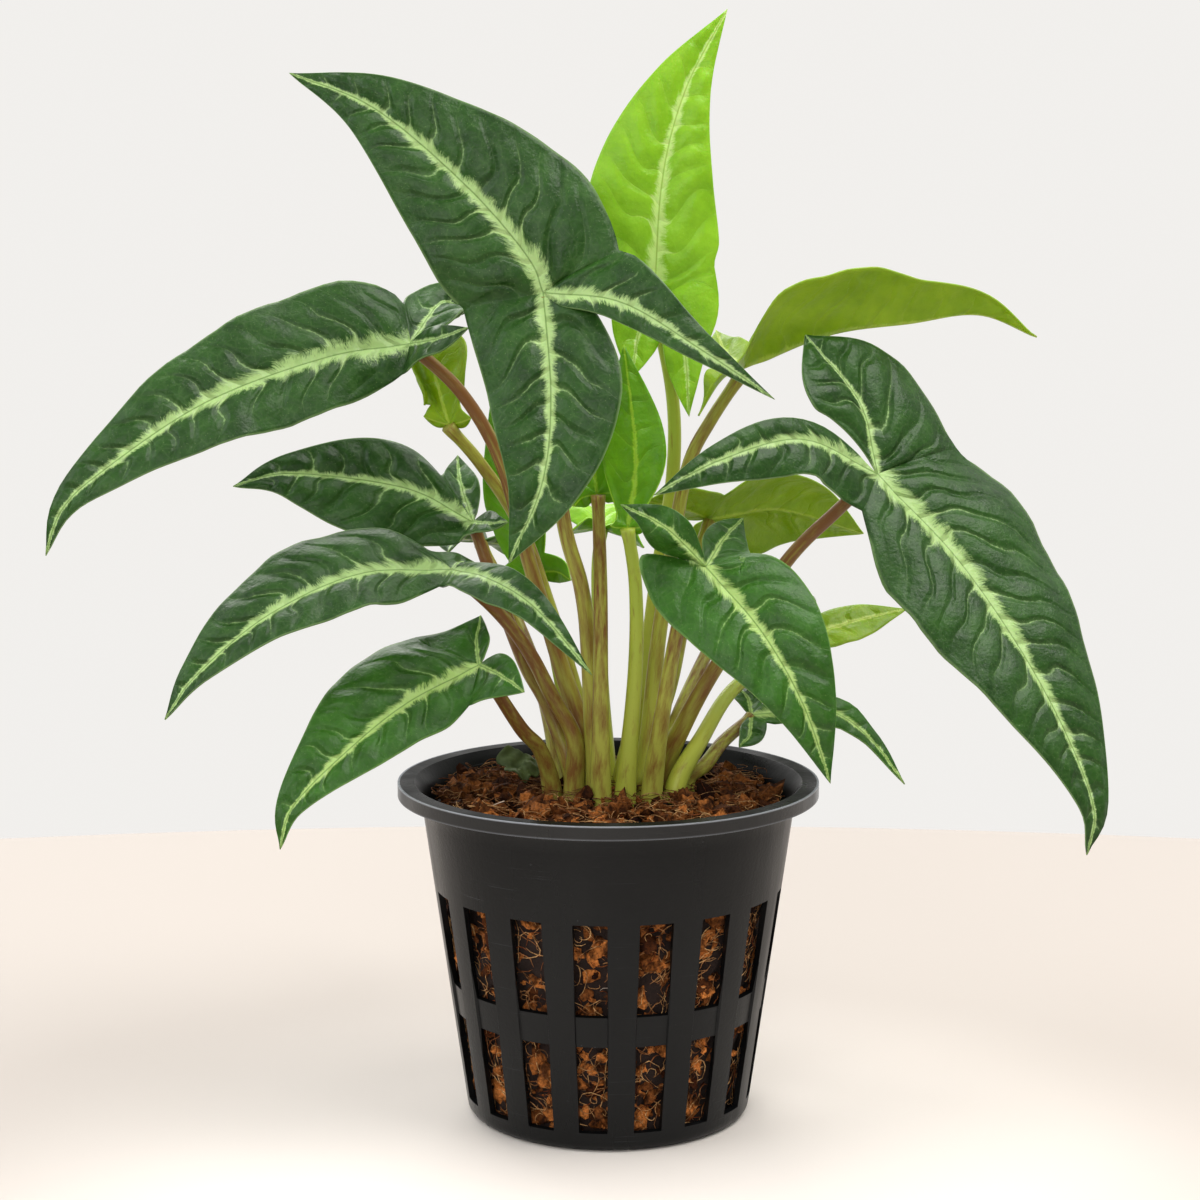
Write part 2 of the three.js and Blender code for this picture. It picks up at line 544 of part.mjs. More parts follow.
// Growing medium: fills the pot, bumpy on top, with a plain hole for each stalk
function makeMedium(stalkLines) {
  const top = MEDIUM_TOP;
  const inner = (z) => wallRadius(z) - WALL - MEDIUM_GAP;
  const rings = [36, 27, 18, 9, 0];
  const profile = [
    [0, WALL + MEDIUM_GAP], [inner(4) - 2, WALL + MEDIUM_GAP], [inner(6), 6], [inner(top - 3), top - 3],
    [inner(top) - 1.5, top], ...rings.map((radius) => [radius, top]),
  ];
  const body = turned(profile, MEDIUM_FACETS);
  const position = body.getAttribute('position');
  for (let index = 0; index < position.count; index += 1) {
    const [x, y, z] = [position.getX(index), position.getY(index), position.getZ(index)];
    if (z < top - 0.1) continue;
    const bump = Math.sin(x * 0.31 + 1.7) * Math.cos(y * 0.37) + 0.6 * Math.sin(x * 0.83 - y * 0.71);
    const mound = MEDIUM_MOUND * Math.max(0, 1 - (x * x + y * y) / FOOT_RADIUS ** 2);
    position.setZ(index, z + mound + MEDIUM_BUMP * bump / 1.6);
  }
  let medium = toSolid(body);
  for (const [foot, ...route] of stalkLines) {
    const bottom = foot.clone().setZ(foot.z - STALK_HOLE_GAP);
    const [footRadius, topRadius] = [STALK_FOOT_RADIUS + STALK_HOLE_GAP, STALK_TOP_RADIUS + STALK_HOLE_GAP];
    medium = medium.subtract(toSolid(tube([bottom, ...route], footRadius, topRadius)));
  }
  return toGeometry(medium);
}

addPiece('pot', makePot(), 0x2b2d2f, 0.5);
addPiece('leaf_scrap', makeScrap(), 0x5f6f52, 0.8);
const stalkLines = [];
for (const [letter, leaf] of Object.entries(LEAVES)) {
  const blade = makeBlade(leaf);
  const stalk = makeStalk(leaf, toSolid(blade));
  stalkLines.push(stalk.points);
  addPiece(`leaf_${letter}_blade`, blade, leaf.colour, 0.45);
  addPiece(`leaf_${letter}_stalk`, stalk.geometry, STALK_COLOUR, 0.5);
}
addPiece('growing_medium', makeMedium(stalkLines), 0x6b3a1f, 0.95);

export default plant;
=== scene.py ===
# %% [markdown]
# A potted arrow-leaved house plant. This lesson dresses a measured model of it: nineteen leaves on slim
# stalks, coarse growing medium and a black slotted net pot. The measured model, called the frame, is loaded
# first and never moved. Lengths below are written in millimetres and turned to metres where a mesh is made.

# %% Load the frame
import math
import random

import bmesh
import bpy
import numpy as np
from mathutils import Euler, Matrix, Vector, noise


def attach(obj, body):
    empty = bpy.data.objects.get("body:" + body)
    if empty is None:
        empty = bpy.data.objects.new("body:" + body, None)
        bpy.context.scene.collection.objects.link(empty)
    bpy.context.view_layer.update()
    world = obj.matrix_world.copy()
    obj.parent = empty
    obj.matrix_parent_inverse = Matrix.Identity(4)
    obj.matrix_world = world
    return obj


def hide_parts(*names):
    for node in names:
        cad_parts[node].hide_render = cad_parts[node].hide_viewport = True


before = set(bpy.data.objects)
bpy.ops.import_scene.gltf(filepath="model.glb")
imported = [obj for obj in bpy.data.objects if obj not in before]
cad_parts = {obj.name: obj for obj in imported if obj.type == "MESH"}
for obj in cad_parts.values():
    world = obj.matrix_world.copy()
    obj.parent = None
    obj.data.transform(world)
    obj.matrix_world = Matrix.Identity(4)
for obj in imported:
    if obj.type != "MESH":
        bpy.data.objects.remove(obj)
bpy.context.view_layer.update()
MM = 0.001
print("frame nodes:", len(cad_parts))

# %% [markdown]
# The camera stands where the photographer stood: 0.69 m in front of the pot's axis, a little above the
# highest stalks, looking down by 8.35 degrees. A long lens keeps the pot's sides straight.

# %% Camera
CAMERA_PLACE = (-0.6, -691.65, 239.89)
CAMERA_PITCH = 8.354
CAMERA_PAN = 0.0023
LENS = 79.49
SENSOR = 36.0

lens = bpy.data.cameras.new("front_view")
lens.lens = LENS
lens.sensor_width = SENSOR
lens.clip_start = 0.01
camera = bpy.data.objects.new("front_view", lens)
camera.location = [value * MM for value in CAMERA_PLACE]
camera.rotation_euler = (math.radians(90 - CAMERA_PITCH), 0, CAMERA_PAN)
bpy.context.scene.collection.objects.link(camera)
bpy.context.scene.camera = camera
print("camera place:", [round(value, 3) for value in camera.location])

# %% [markdown]
# The plant stands in a bright, plain studio. The surround is pale behind the plant and dimmer behind the
# camera, so dark glossy things reflect little of it and keep their depth, while their rims catch the pale
# side. A very large key lamp stands high on the right, weaker ones fill from the front and from the left,
# and one lights the leaves from behind. Big lamps give soft shadows, and broad, faint highlights on waxy
# leaves. The plain view transform keeps the colours as they are set.

# %% Light
bpy.context.scene.view_settings.view_transform = "Standard"


def soft_lamp(name, place, aim, size, power, tint):
    lamp = bpy.data.lights.new(name, "AREA")
    lamp.shape = "DISK"
    lamp.size = size
    lamp.energy = power
    lamp.color = tint
    holder = bpy.data.objects.new(name, lamp)
    holder.location = place
    holder.rotation_euler = (Vector(aim) - Vector(place)).to_track_quat("-Z", "Y").to_euler()
    bpy.context.scene.collection.objects.link(holder)


AIM = (0.0, 0.0, 0.16)
soft_lamp("key", (0.75, -0.2, 1.75), AIM, 1.5, 30.0, (1.0, 0.985, 0.95))
soft_lamp("front", (-0.35, -1.5, 0.8), AIM, 1.2, 10.0, (1.0, 0.99, 0.97))
soft_lamp("fill", (-1.3, -0.3, 1.1), AIM, 1.2, 8.0, (0.95, 0.98, 1.0))
soft_lamp("back", (-0.4, 1.2, 1.2), AIM, 1.2, 14.0, (1.0, 1.0, 0.96))
print("lamps:", len(bpy.data.lights))

# %% [markdown]
# Colours below are written as the sRGB hex values that a colour picker shows, and one function turns them to
# the linear values that shaders use. Another adds one shader node, with its settings, and a third gives a
# node's sockets their values and links. The four kinds of node used most have short functions of their own:
# sums, ranges, mixed colours and noise at a real size. A new material comes with its tree, its main shader
# and the Object coordinates that its patterns read.

# %% Shader helpers
def linear(hex_colour):
    channels = [int(hex_colour[start:start + 2], 16) / 255 for start in (1, 3, 5)]
    return tuple(c / 12.92 if c <= 0.04045 else ((c + 0.055) / 1.055) ** 2.4 for c in channels) + (1.0,)


def feed(tree, node, sockets):
    """Each socket takes a value, or a link from a socket, or from a node, which means its first output."""
    for name, value in sockets.items():
        if isinstance(value, bpy.types.Node):
            value = value.outputs[0]
        if isinstance(value, bpy.types.NodeSocket):
            tree.links.new(value, node.inputs[name])
        else:
            node.inputs[name].default_value = value


def add(tree, kind, sockets=None, **settings):
    node = tree.nodes.new("ShaderNode" + kind)
    for name, value in settings.items():
        setattr(node, name, value)
    feed(tree, node, sockets or {})
    return node


def maths(tree, operation, *values, **settings):
    """Each value is a number, a socket or a node."""
    return add(tree, "Math", dict(enumerate(values)), operation=operation, **settings)


def remap(tree, value, low, high, start=0.0, end=1.0, **settings):
    """A value of low gives start and one of high gives end. Values beyond stop there unless clamp is off."""
    return add(tree, "MapRange", {"Value": value, "From Min": low, "From Max": high, "To Min": start,
                                  "To Max": end}, **settings)


def mix(tree, share, *colours):
    """A mix of two colours. Each is a hex value, a socket or a node."""
    first, second = [linear(colour) if isinstance(colour, str) else colour for colour in colours]
    return add(tree, "MixRGB", {"Fac": share, "Color1": first, "Color2": second})


def cloud(tree, place, size, detail, roughness=0.5):
    """Noise with lumps of this size in millimetres, where place is given in metres."""
    return add(tree, "TexNoise", {"Vector": place, "Scale": 1000 / size, "Detail": detail,
                                  "Roughness": roughness})


def new_material(name):
    material = bpy.data.materials.new(name)
    material.use_nodes = True
    tree = material.node_tree
    return material, tree, tree.nodes["Principled BSDF"], add(tree, "TexCoord").outputs["Object"]

# %% [markdown]
# The surround is a gradient by direction alone: 0.95 behind the plant, 0.25 behind the camera. The floor is
# a round pale table top, whose far edge lies a third of a metre behind the pot. A painted pool of light
# makes it palest round the pot's front, where the pot would otherwise shade it.

# %% Surround and floor
world = bpy.data.worlds.new("studio")
world.use_nodes = True
tree = world.node_tree
direction = add(tree, "SeparateXYZ", {0: add(tree, "TexCoord").outputs["Generated"]}).outputs
level = remap(tree, direction[1], -0.9, 0.7, 0.25, 0.95)
feed(tree, tree.nodes["Background"], {"Strength": level, "Color": linear("#f7f5f2")})
bpy.context.scene.world = world

FLOOR_RADIUS = 1.2
FLOOR_CENTRE_Y = -0.87
PAINTED_LIGHT_POOL_PLACE = (0.0, -0.07, 0.0)
floor_bm = bmesh.new()
floor_middle = Matrix.Translation((0, FLOOR_CENTRE_Y, 0))
bmesh.ops.create_circle(floor_bm, cap_ends=True, segments=160, radius=FLOOR_RADIUS, matrix=floor_middle)
floor_mesh = bpy.data.meshes.new("floor")
floor_bm.to_mesh(floor_mesh)
floor_bm.free()
floor = bpy.data.objects.new("floor", floor_mesh)
floor_material, floor_tree, floor_shader, spot = new_material("matte_pale_table_top")
# A painted pool of light: the floor's colour is paler near the pot's front, against the shade the pot casts
# there.
far = add(floor_tree, "VectorMath", {0: spot, 1: PAINTED_LIGHT_POOL_PLACE}, operation="DISTANCE").outputs["Value"]
away = remap(floor_tree, far, 0.05, 0.2, interpolation_type="SMOOTHSTEP")
pale = mix(floor_tree, away, "#ebe4de", "#c0b8b2")
feed(floor_tree, floor_shader, {"Base Color": pale, "Roughness": 0.75, "Specular IOR Level": 0.1})
floor.data.materials.append(floor_material)
bpy.context.scene.collection.objects.link(floor)
print("floor reaches behind the pot, m:", round(FLOOR_RADIUS + FLOOR_CENTRE_Y, 3))

# %% [markdown]
# Every piece below is finished the same way: its mesh is made from a bmesh, its faces are smoothed, and it
# rides on the one body of this object, because nothing on a potted plant is hinged. Most pieces start as a
# flat grid that is rolled or bent, so the grid, its thickness and the steps that close it are helpers too.

# %% Finish a piece
def finish_piece(bm, name, materials, nodes=(), smooth=True):
    mesh = bpy.data.meshes.new(name)
    for face in bm.faces:
        face.smooth = smooth
    bm.to_mesh(mesh)
    bm.free()
    for material in materials:
        mesh.materials.append(material)
    piece = bpy.data.objects.new(name, mesh)
    bpy.context.scene.collection.objects.link(piece)
    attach(piece, "root")
    if nodes:
        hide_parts(*nodes)
    return piece


def thicken(piece, name, thickness, offset=0.0):
    """Gives a sheet its thickness in millimetres: on both sides alike, or behind it where offset is -1."""
    solid = piece.modifiers.new(name, "SOLIDIFY")
    solid.thickness = thickness * MM
    solid.offset = offset
    return solid


def rolled_grid(bm, rows, columns, place):
    """A grid of rows and columns, with each corner moved to place(row, column)."""
    made = bmesh.ops.create_grid(bm, x_segments=rows, y_segments=columns, size=1.0)
    corners = {}
    for vert in made["verts"]:
        row = round((vert.co.x + 1) / 2 * rows)
        column = round((vert.co.y + 1) / 2 * columns)
        vert.co = place(row, column)
        corners[vert] = (row, column)
    return corners


def turn_at(column, columns):
    """The turn of a column where a sheet is rolled up, so that its last column meets its first."""
    return 2 * math.pi * (column % columns) / columns


def on_circle(radius, turn, z=0.0):
    return Vector((radius * math.cos(turn), radius * math.sin(turn), z))


def close_up(bm, apart=1e-6):
    """Merges corners that meet, fills open ends and turns the faces outwards."""
    bmesh.ops.remove_doubles(bm, verts=bm.verts, dist=apart)
    bmesh.ops.holes_fill(bm, edges=[edge for edge in bm.edges if edge.is_boundary])
    bmesh.ops.recalc_face_normals(bm, faces=bm.faces)

# %% [markdown]
# The net pot is injection-moulded polypropylene: one thin wall that tapers to the foot, two rows of upright
# slots, a shallow recess in the ring between them, and a turned-down lip. A Boolean could cut the slots, but
# a sheet whose columns already follow the slots keeps clean edges: the slot faces are left out, and Solidify
# gives the wall its thickness.

# %% Pot wall
POT_HEIGHT = 90.2
FOOT_RADIUS = 37.65
NECK_RADIUS = 50.4
RIM_RADIUS = 56.0
WALL = 1.6
FOOT_ROUND = 3.0
SLOTS = 17
SLOT_START = -5.75
SLOT_ANGLE = 11.0
LOW_SLOT = (5.3, 29.1)
HIGH_SLOT = (37.3, 62.4)
FLOOR_SLOT = (12.0, 28.0)
RING_RECESS = 0.6
FLANGE_WIDTH = 5.4
LIP_HEIGHT = 3.6
# Columns in one pitch of 21.2 degrees: the slot, its two guard edges, and the rib up to the next slot
PITCH_ANGLES = (-5.85, -5.5, -3.3, -1.1, 1.1, 3.3, 5.5, 5.85, 8.2, 10.6, 13.0)


def wall_radius(z):
    return FOOT_RADIUS + (NECK_RADIUS - FOOT_RADIUS) * z / POT_HEIGHT


def pot_profile():
    points = [(0.0, 0.0), (6.0, 0.0), (FLOOR_SLOT[0], 0.0), (20.0, 0.0), (FLOOR_SLOT[1], 0.0), (32.0, 0.0)]
    for step in range(5):
        turn = math.radians(22.5 * step)
        centre = FOOT_RADIUS - FOOT_ROUND + 0.4
        points.append((centre + FOOT_ROUND * math.sin(turn), FOOT_ROUND * (1 - math.cos(turn))))
    low_heights = [LOW_SLOT[0], 13, 21, LOW_SLOT[1], 33.2]
    high_heights = [HIGH_SLOT[0], 45.5, 54, HIGH_SLOT[1], 68, 75, 81, 84.5]
    points += [(wall_radius(z), z) for z in low_heights + high_heights]
    lip = RIM_RADIUS - WALL
    under = POT_HEIGHT - WALL
    neck = RIM_RADIUS - FLANGE_WIDTH + WALL
    points += [(neck - 1.5, under - 2.0), (neck - 0.6, under - 0.6), (neck, under), (lip, under)]
    points += [(lip, POT_HEIGHT - LIP_HEIGHT + 1.0), (lip, POT_HEIGHT - LIP_HEIGHT)]
    return points


pot_bm = bmesh.new()
PROFILE = pot_profile()
POT_COLUMNS = SLOTS * len(PITCH_ANGLES)


def pot_place(row, column):
    radius, z = PROFILE[row]
    pitch, part = divmod(column % POT_COLUMNS, len(PITCH_ANGLES))
    offset = PITCH_ANGLES[part]
    in_ring = LOW_SLOT[1] <= z <= HIGH_SLOT[0] and abs(offset) <= SLOT_ANGLE / 2
    if in_ring:
        radius -= RING_RECESS
    turn = math.radians(SLOT_START + pitch * 360 / SLOTS + offset)
    return Vector((radius * math.sin(turn), -radius * math.cos(turn), z)) * MM


rolled_grid(pot_bm, len(PROFILE) - 1, POT_COLUMNS, pot_place)
bmesh.ops.remove_doubles(pot_bm, verts=pot_bm.verts, dist=1e-6)
# The rolled sheet faces the axis, so it is turned over before the wall gets its thickness
bmesh.ops.reverse_faces(pot_bm, faces=pot_bm.faces)


def in_slot(face):
    centre = face.calc_center_median() / MM
    radius = math.hypot(centre.x, centre.y)
    turn = math.degrees(math.atan2(centre.x, -centre.y)) - SLOT_START
    offset = (turn + 180 / SLOTS) % (360 / SLOTS) - 180 / SLOTS
    rows = LOW_SLOT[0] < centre.z < LOW_SLOT[1] or HIGH_SLOT[0] < centre.z < HIGH_SLOT[1]
    floor_slot = centre.z < 0.1 and FLOOR_SLOT[0] < radius < FLOOR_SLOT[1]
    return abs(offset) < SLOT_ANGLE / 2 and (rows or floor_slot)


slot_faces = [face for face in pot_bm.faces if in_slot(face)]
bmesh.ops.delete(pot_bm, geom=slot_faces, context="FACES")
print("pot: slot faces left open", len(slot_faces), "wall faces", len(pot_bm.faces))

# %% [markdown]
# Black polypropylene straight from the mould is charcoal, satin rather than glossy, and gathers fine
# scuffs. Its gloss is uneven in broad upright bands, because the plastic cooled unevenly in the mould. Thin
# pale scratches run mostly round the wall, where pots rub in a stack, and a few specks of dust stick to it.
# The lip is smoother than the wall, and a painted highlight lies as pale lines along its top and bottom
# outer edges. Its top and the inside of the pot keep the dull skin of the mould. Heights and radii are read
# from
# Object coordinates, so they are in metres.

# %% Moulded polypropylene
SCRATCH_MM = 0.45
WEAR_MM = 18.0
MOULD_GRAIN_MM = 0.9
BAND_MM = 14.0
DUST_MM = 6.0
pot_material, tree, shader, coords = new_material("moulded_black_polypropylene")
upright = add(tree, "Mapping", {"Vector": coords, "Scale": (1.0, 1.0, 0.12)})
band = cloud(tree, upright, BAND_MM, 3.0)
mottle = cloud(tree, coords, WEAR_MM, 4.0)
level = add(tree, "Mapping", {"Vector": coords, "Rotation": (0.02, 0.03, 0.0), "Scale": (0.02, 0.02, 1.0)})
scratch = cloud(tree, level, SCRATCH_MM, 2.0)
line = remap(tree, scratch, 0.66, 0.78)
worn = remap(tree, mottle, 0.5, 0.7)
scratches = maths(tree, "MULTIPLY", line, worn)
dust = add(tree, "TexVoronoi", {"Vector": coords, "Scale": 1000 / DUST_MM})
specks = remap(tree, dust, 0.02, 0.045, 0.6, 0.0)
marks = maths(tree, "MAXIMUM", scratches, specks)
base = mix(tree, mottle, "#090a0b", "#111213")
marked = mix(tree, marks, base, "#393b3e")
x, y, z = add(tree, "SeparateXYZ", {0: coords}).outputs
flat = add(tree, "CombineXYZ", {0: x, 1: y})
radius = add(tree, "VectorMath", {0: flat}, operation="LENGTH").outputs["Value"]
# Pale lines along the lip's top and bottom outer edges are a painted highlight.
outer = remap(tree, radius, 0.0553, 0.0556)
upper = remap(tree, z, 0.0898, 0.0901)
lower = remap(tree, z, 0.0867, 0.0871, 0.35, 0.0)
edges = maths(tree, "MAXIMUM", upper, lower)
painted_edge_highlight = maths(tree, "MULTIPLY", edges, outer)
marked = mix(tree, painted_edge_highlight, marked, "#8c9098")
gloss = remap(tree, band, 0.35, 0.65, 0.24, 0.42)
grain = cloud(tree, coords, MOULD_GRAIN_MM, 2.0)
cut = maths(tree, "MULTIPLY_ADD", line, -0.8, grain)
waves = add(tree, "Bump", {"Height": band, "Strength": 0.12, "Distance": 0.001})
dents = add(tree, "Bump", {"Height": cut, "Normal": waves, "Strength": 0.15, "Distance": 0.0003})
smooth_lip = remap(tree, z, 0.0845, 0.0868, 0.2, 0.5)
facing = add(tree, "NewGeometry").outputs["Normal"]
slope = add(tree, "SeparateXYZ", {0: facing}).outputs[2]
outwards = add(tree, "VectorMath", {0: flat, 1: facing}, operation="DOT_PRODUCT").outputs["Value"]
dull_inside = remap(tree, outwards, -0.02, 0.0, 0.15)
dull_top = remap(tree, slope, 0.8, 0.98, 1.0, 0.05)
dull = maths(tree, "MINIMUM", dull_inside, dull_top)
sheen = maths(tree, "MULTIPLY", smooth_lip, dull)
feed(tree, shader, {"Base Color": marked, "Roughness": gloss, "Normal": dents, "Specular IOR Level": sheen})

pot = finish_piece(pot_bm, "net_pot", [pot_material], ["pot"])
thicken(pot, "wall", WALL, -1.0).use_even_offset = True
rounding = pot.modifiers.new("edges", "BEVEL")
rounding.width = 0.4 * MM
rounding.segments = 2
rounding.limit_method = "ANGLE"
rounding.angle_limit = math.radians(38)
rounding.harden_normals = True
print("pot shader nodes:", len(tree.nodes))

# %% [markdown]
# Each leaf is one blade with three lobes: a long front lobe and two side lobes that point back past the
# stalk. The table gives the real plant's leaves one by one: where the stalk meets the blade, the way the
# upper side looks there, and for each lobe the points of its midrib, its half-widths to the left and to the
# right, and how far along it is widest, which is half-way where nothing is said. The notches say how far
# from the hub the lobes part, and parts says at which share of the angle between them. The stalk's points
# run from its foot in the medium up to the blade. The same measures drive the measured model.

